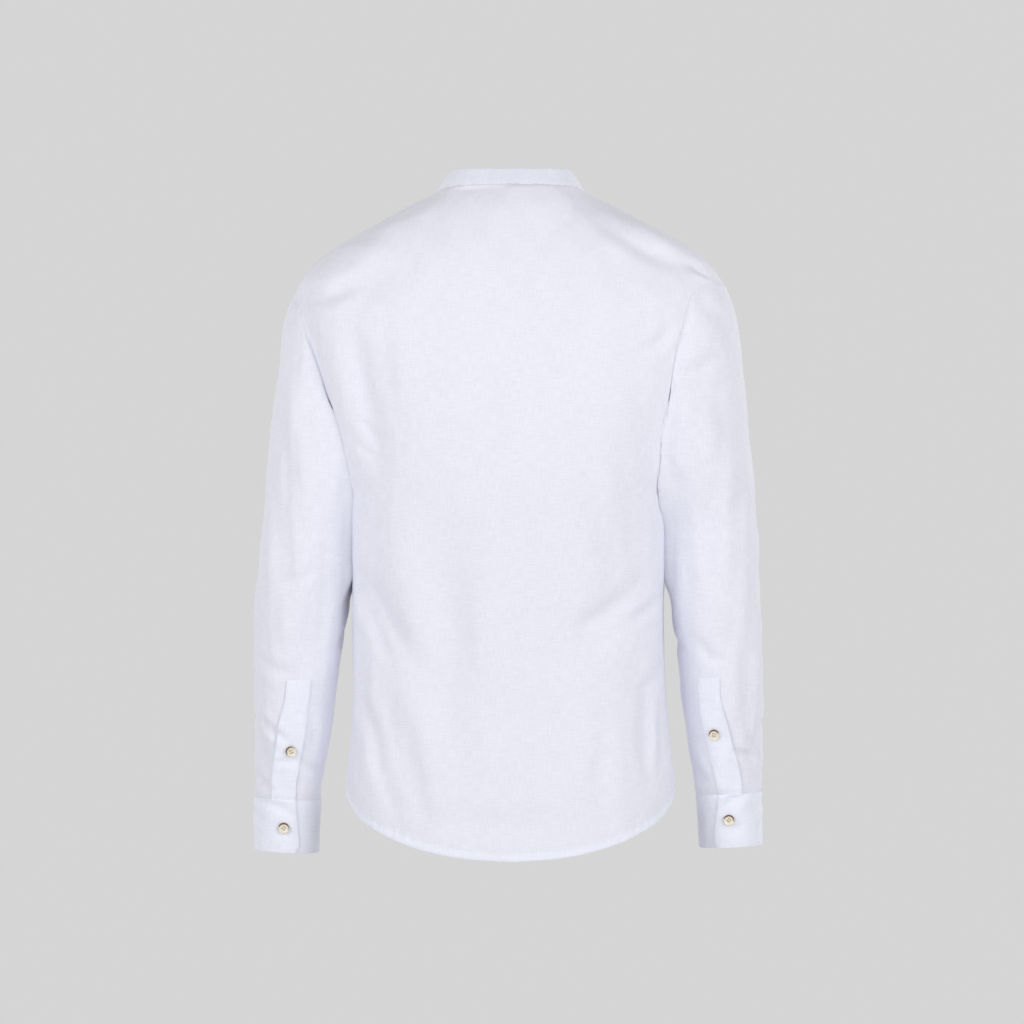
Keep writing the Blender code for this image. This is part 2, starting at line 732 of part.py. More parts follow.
def even_point(line, share):
    """Point of a line of close points at a share of its length."""
    lengths = [0]
    for a, b in zip(line, line[1:]):
        lengths.append(lengths[-1] + (b - a).length)
    target = share * lengths[-1]
    index = 0
    while index < len(line) - 2 and lengths[index + 1] < target:
        index += 1
    return line[index].lerp(line[index + 1],
                            (target - lengths[index]) / (lengths[index + 1] - lengths[index]))


def grid_normals(rows, wrapped):
    """Directions square to a grid of points, from the neighbours of each."""
    count = len(rows[0])
    normals = []
    for i, row in enumerate(rows):
        above, below = rows[max(i - 1, 0)], rows[min(i + 1, len(rows) - 1)]
        line = []
        for j in range(count):
            before = (j - 1) % count if wrapped else max(j - 1, 0)
            after = (j + 1) % count if wrapped else min(j + 1, count - 1)
            line.append((row[after] - row[before]).cross(below[j] - above[j]).normalized())
        normals.append(line)
    return normals


def outward_normals(rows, wrapped):
    """Grid normals, turned to point away from the middle line of a tube."""
    normals = grid_normals(rows, wrapped)
    votes = 0
    for row, line in zip(rows, normals):
        middle = sum(row, Vector()) / len(row)
        votes += sum(normal.dot(point - middle) for point, normal in zip(row, line))
    if votes < 0:
        normals = [[-normal for normal in line] for line in normals]
    return normals


def sink_folds(side, rows):
    """Press the soft folds into a sleeve, clear of its seams and its wrist opening."""
    normals = outward_normals(rows, wrapped=True)
    result = []
    for i, (row, line) in enumerate(zip(rows, normals)):
        inside = ease(i, *SLEEVE_FOLD_EASE_TOP)
        inside *= ease(len(rows) - 1 - i, *SLEEVE_FOLD_EASE_END)
        middle = sum(row, Vector()) / len(row)
        fresh = []
        for point, normal in zip(row, line):
            offset = point - middle
            angle = math.degrees(math.atan2(offset.y, SIDE_SIGN[side] * offset.x)) % 360
            fresh.append(point - normal * sleeve_sink(side, angle, point.z) * inside)
        result.append(fresh)
    return result


def placket_grid(rows, normals):
    """The strip over the wrist slit, from the sleeve's own points moved out."""
    first, last = PLACKET_COLUMNS
    start = len(rows) - 1 - PLACKET_ROWS
    rise = SEAM_GAP + STRIP
    points, outward = [], []
    for row, line in list(zip(rows, normals))[start:]:
        points.append([row[k] + line[k] * rise for k in range(first, last + 1)])
        outward.append([line[k] for k in range(first, last + 1)])
    points[-1] = [end + (above - end).normalized() * PLACKET_CLEARANCE
                  for above, end in zip(points[-2], points[-1])]
    return points, outward


def cuff_grid(side):
    """The cuff band, from its lapping end once round to the end underneath."""
    turns = [0, CUFF_FIRST_TURN]
    while turns[-1] < 360 + CUFF_OVERLAP - 1:
        turns.append(min(turns[-1] + CUFF_TURN, 360 + CUFF_OVERLAP))
    top = SLEEVE_END[side] - CUFF_SEAM_GAP
    rows = []
    for share in CUFF_ROWS:
        height = top - share * CUFF_HEIGHT
        row = []
        for turn in turns:
            cut = CUFF_CORNER if share == 1 and turn == 0 else 0
            angle = opening_angle[side](height) - turn - cut
            point = sleeve_ring_point(side, angle, height)
            middle = point.lerp(sleeve_ring_point(side, angle + 180, height), 0.5)
            rise = CUFF_LAP_RISE * (CUFF_LEVEL_SHARE - (turn + cut) / turns[-1])
            outward = (point - middle).xy.to_3d().normalized()
            row.append(point + outward * rise)
        rows.append(row)
    return rows


def neck_edge(back, right, left):
    """The panels' neck edges in one line, from the right front's free edge to the left's."""
    corner = NECK_COLUMNS + FRONT_EXTRA_COLUMNS
    right_corner = right[corner].lerp(back[SHOULDER_COLUMNS], 0.5)
    left_corner = left[corner].lerp(back[-1 - SHOULDER_COLUMNS], 0.5)
    behind = back[SHOULDER_COLUMNS + 1:-1 - SHOULDER_COLUMNS]
    return right[:corner] + [right_corner] + behind + [left_corner] + left[:corner][::-1]


def collar_grid(back, right, left):
    """The collar band, from the end underneath at the front round to the lapping end.

    Its lower edge runs along the panels' neck edges, with a point between each pair.
    """
    line = neck_edge(back, right, left)
    close = [line[0]]
    for a, b in zip(line, line[1:]):
        close += [a.lerp(b, 0.5), b]
    bottom, middle, top = [], [], []
    for i, edge in enumerate(close):
        before, after = close[max(i - 2, 0)], close[min(i + 2, len(close) - 1)]
        along = (after - before).xy.to_3d().normalized()
        outward = Vector((-along.y, along.x, 0))
        if outward.dot(edge.xy.to_3d() + Vector((0, COLLAR_CENTRE_FORWARD, 0))) < 0:
            outward = -outward
        angle = math.degrees(math.atan2(abs(edge.x), edge.y))
        lean = math.radians(collar_lean(angle))
        up = Vector((0, 0, math.cos(lean))) - outward * math.sin(lean)
        lapping = ease(i / (len(close) - 1), *COLLAR_LAP_EASE)
        under = 1 - ease(i / (len(close) - 1), *COLLAR_UNDER_EASE)
        base = edge + outward * (COLLAR_LAP_RISE * lapping - COLLAR_UNDER_DROP * under)
        base += up * (COLLAR_SEAT + COLLAR_LAP_SEAT * lapping)
        bottom.append(base)
        top.append(base + up * COLLAR_HEIGHT)
    rounded = [top[0]]
    for before, point, after in zip(top, top[1:], top[2:]):
        rounded.append(before * 0.25 + point * 0.5 + after * 0.25)
    rounded.append(top[-1])
    middle = [a.lerp(b, 0.5) for a, b in zip(bottom, rounded)]
    return [rounded, middle, bottom]


def finish_material(name, finish):
    """A material from its finish."""
    material = bpy.data.materials.new(name)
    material.use_nodes = True
    shader = material.node_tree.nodes["Principled BSDF"]
    shader.inputs["Base Color"].default_value = finish.color
    shader.inputs["Roughness"].default_value = finish.roughness
    shader.inputs["Metallic"].default_value = finish.metallic
    material.diffuse_color = finish.color
    return material


def add_object(name, mesh, finish, collection):
    """Put a mesh in the collection as a named object with its own material."""
    thing = bpy.data.objects.new(name, mesh)
    mesh.materials.append(finish_material(name, finish))
    collection.objects.link(thing)
    return thing


def cloth_wall(name, rows, normals, thickness, collection, slit_rows=0, tube=False):
    """A cloth wall: a grid set on its outer points and extruded along its normals.

    A tube's two side edges are joined, but for the rows of its slit at the end.
    """
    row_count, column_count = len(rows), len(rows[0])
    sheet = bmesh.new()
    bmesh.ops.create_grid(sheet, x_segments=column_count - 1, y_segments=row_count - 1, size=1)
    sheet.verts.ensure_lookup_table()
    inward = sheet.verts.layers.float_vector.new("inward")
    for index, vertex in enumerate(sheet.verts):
        i, j = divmod(index, column_count)
        vertex[inward] = -normals[i][j] * thickness * MM
        vertex.co = rows[i][j] * MM
    if tube:
        closed = row_count - slit_rows
        ends = [sheet.verts[i * column_count + j]
                for i in range(closed) for j in (0, column_count - 1)]
        bmesh.ops.remove_doubles(sheet, verts=ends, dist=1e-6)
    bmesh.ops.triangulate(sheet, faces=sheet.faces[:], quad_method="SHORT_EDGE")
    sheet.normal_update()
    wall = bmesh.ops.extrude_face_region(sheet, geom=sheet.faces[:])
    for part in wall["geom"]:
        if isinstance(part, bmesh.types.BMVert):
            part.co += part[inward]
    bmesh.ops.recalc_face_normals(sheet, faces=sheet.faces[:])
    mesh = bpy.data.meshes.new(name)
    sheet.to_mesh(mesh)
    sheet.free()
    mesh.shade_smooth()
    mesh.set_sharp_from_angle(angle=math.radians(40))
    return add_object(name, mesh, LINEN, collection)


def open_slit(rows, normals):
    """Repeat the slit column at both ends of each row, drawn apart below the slit's top."""
    order = [(SLIT_COLUMN + j) % SLEEVE_COLUMNS for j in range(SLEEVE_COLUMNS)] + [SLIT_COLUMN]
    points, outward = [], []
    first_open = len(rows) - PLACKET_ROWS
    for i, (row, line) in enumerate(zip(rows, normals)):
        fresh = [row[k].copy() for k in order]
        if i >= first_open:
            fresh[0] += (row[order[1]] - row[SLIT_COLUMN]).normalized() * SLIT_WIDTH / 2
            fresh[-1] += (row[order[-2]] - row[SLIT_COLUMN]).normalized() * SLIT_WIDTH / 2
        points.append(fresh)
        outward.append([line[k] for k in order])
    return points, outward


def button_mesh():
    """A dished button with a raised rim and four thread holes, seated on z = 0."""
    r, t = BUTTON_RADIUS * MM, BUTTON_THICKNESS * MM
    profile = [(0, 0), (r * 0.82, 0), (r, t * 0.45), (r * 0.9, t), (r * 0.68, t * 0.72),
               (0, t * 0.68)]
    outline = bmesh.new()
    verts = [outline.verts.new((x, 0, z)) for x, z in profile]
    for a, b in zip(verts, verts[1:]):
        outline.edges.new((a, b))
    bmesh.ops.spin(outline, geom=outline.verts[:] + outline.edges[:], cent=(0, 0, 0),
                   axis=(0, 0, 1), angle=math.tau, steps=BUTTON_SIDES, use_merge=True)
    bmesh.ops.remove_doubles(outline, verts=outline.verts[:], dist=1e-6)
    bmesh.ops.recalc_face_normals(outline, faces=outline.faces[:])
    mesh = bpy.data.meshes.new("button")
    outline.to_mesh(mesh)
    outline.free()
    return mesh


def thread_hole_cutter(cutters):
    """The cutter of the four thread holes."""
    holes = bmesh.new()
    for i in range(4):
        turn = math.tau * (i + 0.5) / 4
        away = BUTTON_HOLE_OFFSET * math.sqrt(2) * MM
        place = Matrix.Translation((away * math.cos(turn), away * math.sin(turn),
                                    BUTTON_THICKNESS * MM / 2))
        bmesh.ops.create_cone(holes, cap_ends=True, segments=BUTTON_HOLE_SIDES,
                              radius1=BUTTON_HOLE_RADIUS * MM, radius2=BUTTON_HOLE_RADIUS * MM,
                              depth=2 * BUTTON_THICKNESS * MM, matrix=place)
    mesh = bpy.data.meshes.new("thread_holes")
    holes.to_mesh(mesh)
    holes.free()
    cutter = bpy.data.objects.new("thread_holes", mesh)
    cutter.hide_render = True
    cutter.display_type = "WIRE"
    cutters.objects.link(cutter)
    return cutter


def drilled_button(cutters):
    """The button's mesh with its thread holes cut."""
    blank = bpy.data.objects.new("button_blank", button_mesh())
    cutters.objects.link(blank)
    cut = blank.modifiers.new("holes", "BOOLEAN")
    cut.object = thread_hole_cutter(cutters)
    cut.operation = "DIFFERENCE"
    bpy.context.view_layer.update()
    evaluated = blank.evaluated_get(bpy.context.evaluated_depsgraph_get())
    mesh = bpy.data.meshes.new_from_object(evaluated)
    bpy.data.objects.remove(blank)
    return mesh


def place_button(name, mesh, seat, normal, collection, turn=0.0):
    """Seat a copy of the button on a point of the cloth, facing along the normal."""
    button = add_object(name, mesh.copy(), SHELL, collection)
    button.data.shade_smooth()
    button.data.set_sharp_from_angle(angle=math.radians(35))
    facing = normal.to_track_quat("Z", "Y").to_matrix().to_4x4()
    spot = Matrix.Translation((seat + normal * BUTTON_SEAT) * MM)
    button.matrix_world = spot @ facing @ Matrix.Rotation(math.radians(turn), 4, "Z")


def grid_at_height(rows, normals, column, height):
    """Point and outward direction of a grid's column at a height."""
    for (above, line), (below, next_line) in zip(zip(rows, normals), zip(rows[1:], normals[1:])):
        a, b = above[column], below[column]
        if a.z >= height >= b.z:
            t = (a.z - height) / (a.z - b.z)
            return a.lerp(b, t), line[column].lerp(next_line[column], t).normalized()
    return rows[-1][column], normals[-1][column]


def add_front_buttons(points, normals, button, collection):
    """The row of buttons down the middle of the left front."""
    for number, height in enumerate(FRONT_BUTTON_HEIGHTS, 1):
        seat, normal = grid_at_height(points, normals, 1, height)
        place_button(f"button_front_{number}", button, seat, normal, collection, 45)


def add_sleeve(side, back, front, button, collection):
    """A sleeve with its placket, cuff and two buttons."""
    column = -1 if side == "left" else 0
    back_edge = edge_clearance(*back, column, -2 if side == "left" else 1)
    front_edge = edge_clearance(*front, -1, -2)
    rows = sleeve_grid(side, back_edge, front_edge)
    normals = outward_normals(rows, wrapped=True)
    points, outward = open_slit(rows, normals)
    cloth_wall(f"sleeve_{side}", points, outward, CLOTH, collection,
               slit_rows=PLACKET_ROWS, tube=True)

    strip, strip_normals = placket_grid(rows, normals)
    cloth_wall(f"sleeve_placket_{side}", strip, strip_normals, STRIP, collection)
    seat, normal = grid_at_height(strip, strip_normals, 1, PLACKET_BUTTON_HEIGHT[side])
    place_button(f"button_placket_{side}", button, seat, normal, collection, 20)

    cuff = cuff_grid(side)
    cuff_normals = outward_normals(cuff, wrapped=False)
    cloth_wall(f"cuff_{side}", cuff, cuff_normals, BAND, collection)
    seat, normal = grid_at_height(cuff, cuff_normals, 1, CUFF_BUTTON_HEIGHT[side])
    beside = grid_at_height(cuff, cuff_normals, 2, CUFF_BUTTON_HEIGHT[side])
    share = (CUFF_BUTTON_INSET - CUFF_FIRST_TURN) / CUFF_TURN
    seat, normal = seat.lerp(beside[0], share), normal.lerp(beside[1], share).normalized()
    place_button(f"button_cuff_{side}", button, seat, normal, collection, -30)


def add_collar(rows, button, collection):
    """The collar band and its button."""
    normals = outward_normals(rows, wrapped=False)
    cloth_wall("collar", rows, normals, BAND, collection)
    middle_row = rows[1]
    crossing = max(column for column in range(1, len(middle_row))
                   if middle_row[column].x * middle_row[column - 1].x <= 0)
    seat = middle_row[crossing - 1].lerp(middle_row[crossing], 0.5)
    place_button("button_collar", button, seat, normals[1][crossing], collection, 10)


def main():
    """Build the shirt."""
    for thing in list(bpy.data.objects):
        bpy.data.objects.remove(thing)
    shirt = bpy.data.collections.new("mandarin_collar_shirt")
    cutters = bpy.data.collections.new("cutters")
    bpy.context.scene.collection.children.link(shirt)
    bpy.context.scene.collection.children.link(cutters)

    back, back_normals = back_grid()
    cloth_wall("back", back, back_normals, CLOTH, shirt)
    button = drilled_button(cutters)
    fronts = {}
    for side in SIDE_SIGN:
        front, front_normals = front_grid(side)
        cloth_wall(f"front_{side}", front, front_normals, CLOTH, shirt)
        if side == "left":
            add_front_buttons(front, front_normals, button, shirt)
        add_sleeve(side, (back, back_normals), (front, front_normals), button, shirt)
        fronts[side] = front[0]
    add_collar(collar_grid(back[0], fronts["right"], fronts["left"]), button, shirt)


main()
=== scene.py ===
"""Looks of a long-sleeved linen shirt with a band collar, filled out as worn.

Each cloth piece is a thin shell on the form of its own solid in the frame. The solid's
outer side is read as rows and columns, drawn through with smooth curves, given its
folds, hems and seam edges, and made a wall. Sizes are in millimetres unless a name says
otherwise, and meshes are in metres.
"""
import json
import logging
import math
from dataclasses import dataclass, field
from enum import Enum

import bmesh
import bpy
import numpy as np
from mathutils import Matrix, Vector
from mathutils.bvhtree import BVHTree

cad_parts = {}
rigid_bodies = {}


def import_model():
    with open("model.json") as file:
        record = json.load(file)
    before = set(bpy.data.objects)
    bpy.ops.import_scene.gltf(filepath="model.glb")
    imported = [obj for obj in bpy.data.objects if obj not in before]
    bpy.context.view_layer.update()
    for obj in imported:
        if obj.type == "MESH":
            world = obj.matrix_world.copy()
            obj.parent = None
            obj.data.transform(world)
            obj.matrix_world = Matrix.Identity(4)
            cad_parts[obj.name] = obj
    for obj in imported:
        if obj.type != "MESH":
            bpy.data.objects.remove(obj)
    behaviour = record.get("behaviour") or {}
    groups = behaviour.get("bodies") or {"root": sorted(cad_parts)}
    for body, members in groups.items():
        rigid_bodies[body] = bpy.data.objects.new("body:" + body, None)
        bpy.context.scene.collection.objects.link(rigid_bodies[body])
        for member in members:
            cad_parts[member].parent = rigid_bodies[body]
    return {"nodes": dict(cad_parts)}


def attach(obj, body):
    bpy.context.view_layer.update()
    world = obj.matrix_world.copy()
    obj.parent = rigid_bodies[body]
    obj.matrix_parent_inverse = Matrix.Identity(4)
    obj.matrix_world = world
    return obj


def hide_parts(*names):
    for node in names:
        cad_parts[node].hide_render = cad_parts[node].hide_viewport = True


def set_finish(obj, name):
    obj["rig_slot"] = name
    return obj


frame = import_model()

MM = 0.001
MERGE = 1e-6
TINY = 1e-12
BODY = "root"
WHOLE_EDGE = ((0.0, 99.0),)
# Turns of a row of points: the cosine where smoothing starts, its ease and the longest slope.
SHARP_COSINE, COSINE_EASE, LONGEST_SLOPE = 0.1, 0.75, 1.4
# Waves of a puckered seam: share, length, wander and the wander's length.
PUCKERS = ((1.0, 10.5, 1.7, 23.0), (0.6, 6.7, 2.1, 31.0))
log = logging.getLogger("shirt")


class Facing(Enum):
    """Side of the shirt that a fold is laid out on."""

    BACK = (0.0, 1.0)
    FRONT = (0.0, -1.0)
    LEFT = (1.0, 0.0)
    RIGHT = (-1.0, 0.0)


class Edge(Enum):
    """Edge of a cloth piece: its first and last row, and its first and last column."""

    TOP = "top"
    BOTTOM = "bottom"
    START = "start"
    END = "end"

    @property
    def upright(self) -> bool:
        """Whether the edge runs down the piece."""
        return self in (Edge.START, Edge.END)


def add_mesh(name: str, shape: bmesh.types.BMesh) -> bpy.types.Object:
    """Put a finished shape in the scene and free it.

    Args:
        name: the object's name.
        shape: what becomes its mesh.

    Returns:
        The new object.
    """
    mesh = bpy.data.meshes.new(name)
    shape.to_mesh(mesh)
    shape.free()
    piece = bpy.data.objects.new(name, mesh)
    bpy.context.scene.collection.objects.link(piece)
    return piece


def apply_modifiers(piece: bpy.types.Object) -> None:
    """Turn what a piece's modifiers give into its own mesh.

    Args:
        piece: the object with the modifiers.
    """
    bpy.context.view_layer.update()
    evaluated = piece.evaluated_get(bpy.context.evaluated_depsgraph_get())
    piece.data = bpy.data.meshes.new_from_object(evaluated)
    piece.modifiers.clear()


def dress(piece: bpy.types.Object, slot: str, material: bpy.types.Material,
          sharp: float = 0.0, stands_in: bool = False) -> bpy.types.Object:
    """Shade a piece, give it its material and let it ride on the shirt.

    Args:
        piece: what is dressed.
        slot: the node that the piece belongs to.
        material: what it is made of.
        sharp: angle in degrees above which an edge stays sharp, or 0 for none.
        stands_in: whether the piece replaces that node.

    Returns:
        The piece.
    """
    piece.data.shade_smooth()
    if sharp:
        piece.data.set_sharp_from_angle(angle=math.radians(sharp))
    piece.data.materials.clear()
    piece.data.materials.append(material)
    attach(piece, BODY)
    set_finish(piece, slot)
    if stands_in:
        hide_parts(slot)
    return piece


def add_node(tree: bpy.types.NodeTree, kind: str, inputs: dict | None = None,
             **settings: object) -> bpy.types.Node:
    """Add a shader node.

    Args:
        tree: where it goes.
        kind: its type, without the ShaderNode in front.
        inputs: its sockets, each with a value or with the socket that feeds it.
        settings: its own settings, made before its inputs.

    Returns:
        The node.
    """
    node = tree.nodes.new(f"ShaderNode{kind}")
    for name, value in settings.items():
        setattr(node, name, value)
    for label, value in (inputs or {}).items():
        if isinstance(value, bpy.types.NodeSocket):
            tree.links.new(value, node.inputs[label])
        else:
            node.inputs[label].default_value = value
    return node


def start_material(name: str, values: dict[str, object]) -> tuple:
    """Start a material with its shader's own values.

    Args:
        name: the material's name.
        values: the shader's sockets and what each is set to.

    Returns:
        The material, its node tree and its shader.
    """
    material = bpy.data.materials.new(name)
    material.use_nodes = True
    shader = material.node_tree.nodes["Principled BSDF"]
    for label, value in values.items():
        shader.inputs[label].default_value = value
    return material, material.node_tree, shader


def running_sum(steps: np.ndarray, axis: int = 0) -> np.ndarray:
    """Sums of the steps up to each point along an axis, from 0."""
    return np.insert(np.cumsum(steps, axis=axis), 0, 0.0, axis=axis)


def smooth_step(values: np.ndarray) -> np.ndarray:
    """Rise smoothly from 0 to 1 while the values go from 0 to 1."""
    t = np.clip(values, 0.0, 1.0)
    return t * t * (3.0 - 2.0 * t)


def spline_weights(count: int, places: np.ndarray) -> np.ndarray:
    """Weights that read a smooth curve through evenly numbered points.

    Args:
        count: how many points the curve goes through.
        places: where to read it, in numbers of points from the first.

    Returns:
        One row of weights for each place.
    """
    system = np.eye(count)
    bend = np.zeros((count, count))
    for k in range(1, count - 1):
        system[k, k - 1:k + 2] = (1.0, 4.0, 1.0)
        bend[k, k - 1:k + 2] = (6.0, -12.0, 6.0)
    curvature = np.linalg.solve(system, bend)
    below = np.clip(np.floor(places).astype(int), 0, count - 2)
    t = (places - below)[:, None]
    unit = np.eye(count)
    straight = (1.0 - t) * unit[below] + t * unit[below + 1]
    first = ((1.0 - t) ** 3 - (1.0 - t)) / 6.0 * curvature[below]
    second = (t ** 3 - t) / 6.0 * curvature[below + 1]
    return straight + first + second


def read_across(points: np.ndarray, places: np.ndarray) -> np.ndarray:
    """Read smooth curves along rows of points, straightened where a row turns sharply.

    Args:
        points: rows of points.
        places: where to read each row, in numbers of points from its first.

    Returns:
        The rows' points at these places.
    """
    steps = np.diff(points, axis=1)
    before, after = steps[:, :-1], steps[:, 1:]
    lengths = [np.linalg.norm(part, axis=2, keepdims=True) for part in (before, after)]
    cosine = (before * after).sum(axis=2, keepdims=True) / (lengths[0] * lengths[1])
    slopes = (before + after) / 2.0 * smooth_step((cosine - SHARP_COSINE) / COSINE_EASE)
    longest = LONGEST_SLOPE * np.minimum(*lengths)
    size = np.maximum(np.linalg.norm(slopes, axis=2, keepdims=True), TINY)
    slopes = slopes * np.minimum(1.0, longest / size)
    slopes = np.concatenate([steps[:, :1], slopes, steps[:, -1:]], axis=1)
    below = np.clip(np.floor(places).astype(int), 0, points.shape[1] - 2)
    t = (places - below)[None, :, None]
    start, end = points[:, below], points[:, below + 1]
    rise = smooth_step(t)
    leave = t * (1.0 - t) ** 2 * slopes[:, below]
    arrive = t * t * (1.0 - t) * slopes[:, below + 1]
    return start + (end - start) * rise + leave - arrive


def grid_facings(points: np.ndarray, closed: bool) -> np.ndarray:
    """Unit directions square to a grid of points, facing outwards.

    Args:
        points: rows running down, columns running round.
        closed: whether the first and last column are the same line.

    Returns:
        One direction for each point.
    """
    across = np.gradient(points, axis=1)
    if closed:
        across[:, 0] = across[:, -1] = points[:, 1] - points[:, -2]
    facings = np.cross(across, np.gradient(points, axis=0))
    return facings / np.maximum(np.linalg.norm(facings, axis=2, keepdims=True), TINY)


@dataclass(frozen=True)
class Fold:
    """A soft trough, or with a negative depth a ridge, along a route on one side.

    The route's points are distances across and heights. On the back and front the
    distance is along X, on the left and right along Y. The lean makes one bank steeper.
    """

    facing: Facing
    route: tuple[tuple[float, float], ...]
    depth: float
    width: float
    lean: float = 0.0
    start: float = 0.15
    end: float = 0.15
    SIDE_SHARPNESS = 1.8
    BANK_HEIGHT, BANK_PLACE, BANK_WIDTH = 0.32, 2.0, 0.9

    def press(self, points: np.ndarray, facings: np.ndarray) -> np.ndarray:
        """Outward moves that this fold gives to the cloth.

        Args:
            points: places on the cloth.
            facings: the cloth's facings there.

        Returns:
            One move in metres for each point.
        """
        axis = 0 if self.facing in (Facing.BACK, Facing.FRONT) else 1
        flat = points[..., [axis, 2]] / MM
        towards = np.array([*self.facing.value, 0.0])
        seen = smooth_step(facings @ towards * self.SIDE_SHARPNESS)
        knots = np.array(self.route, dtype=float)
        spans = np.linalg.norm(np.diff(knots, axis=0), axis=1)
        reached = running_sum(spans)
        nearest = np.full(flat.shape[:-1], np.inf)
        side = np.zeros_like(nearest)
        share = np.zeros_like(nearest)
        for k, span in enumerate(spans):
            along = (knots[k + 1] - knots[k]) / span
            offset = flat - knots[k]
            t = np.clip(offset @ along, 0.0, span)
            away = np.linalg.norm(offset - t[..., None] * along, axis=-1)
            cross = along[0] * offset[..., 1] - along[1] * offset[..., 0]
            closer = away < nearest
            nearest = np.where(closer, away, nearest)
            side = np.where(closer, np.sign(cross), side)
            share = np.where(closer, (reached[k] + t) / reached[-1], share)
        fade = np.where(share < 0.5, self.start, self.end)
        fade = fade + (1.0 - fade) * np.sin(np.pi * share)
        reach = nearest / self.width
        trough = -np.exp(-reach ** 2)
        bank = self.BANK_HEIGHT * np.exp(-((reach - self.BANK_PLACE) / self.BANK_WIDTH) ** 2)
        tilt = self.lean * side * reach * np.exp(-reach ** 2)
        return self.depth * MM * seen * fade * (trough + bank + tilt)


def folds(facing: Facing, *rows: tuple) -> tuple[Fold, ...]:
    """Folds on one side, each row a fold's route, depth, width and what else it states."""
    return tuple(Fold(facing, *row) for row in rows)


@dataclass(frozen=True)
class Undulation:
    """Slight waves of hanging cloth, longer down the body than across it."""

    seed: int
    across: float
    down: float
    height: float
    waves: int = 14
    STRETCHES = (0.6, 1.6)

    def press(self, points: np.ndarray) -> np.ndarray:
        """Outward moves that the waves give to the cloth.

        Args:
            points: places on the cloth.

        Returns:
            One move in metres for each point.
        """
        draw = np.random.default_rng(self.seed)
        total = np.zeros(points.shape[:-1])
        for _ in range(self.waves):
            turn = draw.uniform(0.0, math.tau)
            stretch = draw.uniform(*self.STRETCHES)
            level, steep = math.cos(turn) / self.across, math.sin(turn) / self.down
            rates = np.array([level, level, steep]) * math.tau / stretch / MM
            rates[1] *= draw.choice((-1.0, 1.0))
            total += np.sin(points @ rates + draw.uniform(0.0, math.tau))
        return total * self.height * MM / math.sqrt(self.waves / 2.0)


@dataclass(frozen=True)
class EdgeFinish:
    """How one edge of a cloth piece is finished."""

    band: float = 0.0
    rise: float = 0.0
    whiter: bool = True
    roll: float = 0.7
    roll_width: float = 0.9
    pucker: float = 0.0
    stitches: tuple[float, ...] = ()
    spans: tuple[tuple[float, float], ...] = WHOLE_EDGE
    run_on: float = 0.0
    sink: float = 0.0
    tucked: tuple[tuple[float, float], ...] = WHOLE_EDGE
    still: float = 0.0


@dataclass(frozen=True)
class Linen:
    """Washed plain-weave linen."""

    name: str = "linen"
    single: tuple[float, float, float] = (0.800, 0.803, 0.890)
    double: tuple[float, float, float] = (0.835, 0.850, 0.950)
    roughness: float = 0.92
    gloss: float = 0.12
    fuzz: float = 0.25
    fuzz_roughness: float = 0.5
    thread_pitch: float = 0.62
    slub_length: float = 14.0
    slub_width: float = 1.05
    slub_contrast: float = 0.9
    cloud_scale: tuple[float, float, float] = (28.0, 22.0, 1.0)
    cloud_contrast: float = 0.16
    tone_read: tuple[float, float] = (0.3, 0.7)
    tones: tuple[float, float] = (0.958, 1.038)
    cross_height: float = 0.12
    rest_height: float = 0.3
    slub_height: float = 0.5
    relief: float = 0.13
    relief_strength: float = 0.8


@dataclass(frozen=True)
class Shell:
    """Polished button of cream shell, marbled brown at the rim."""

    name: str = "button shell"
    cream: tuple[float, float, float] = (0.83, 0.76, 0.61)
    brown: tuple[float, float, float] = (0.16, 0.065, 0.025)
    roughness: float = 0.26
    coat: float = 0.5
    coat_roughness: float = 0.12
    vein_scale: tuple[float, float, float] = (420.0, 420.0, 900.0)
    vein_detail: float = 4.0
    vein_contrast: float = 1.3
    stops: tuple[float, float] = (0.32, 0.78)


@dataclass(frozen=True)
class Thread:
    """Twisted sewing thread."""

    name: str = "thread"
    color: tuple[float, float, float] = (0.84, 0.84, 0.90)
    roughness: float = 0.7
    twist: float = 0.35
    relief: float = 0.05
    relief_strength: float = 0.5


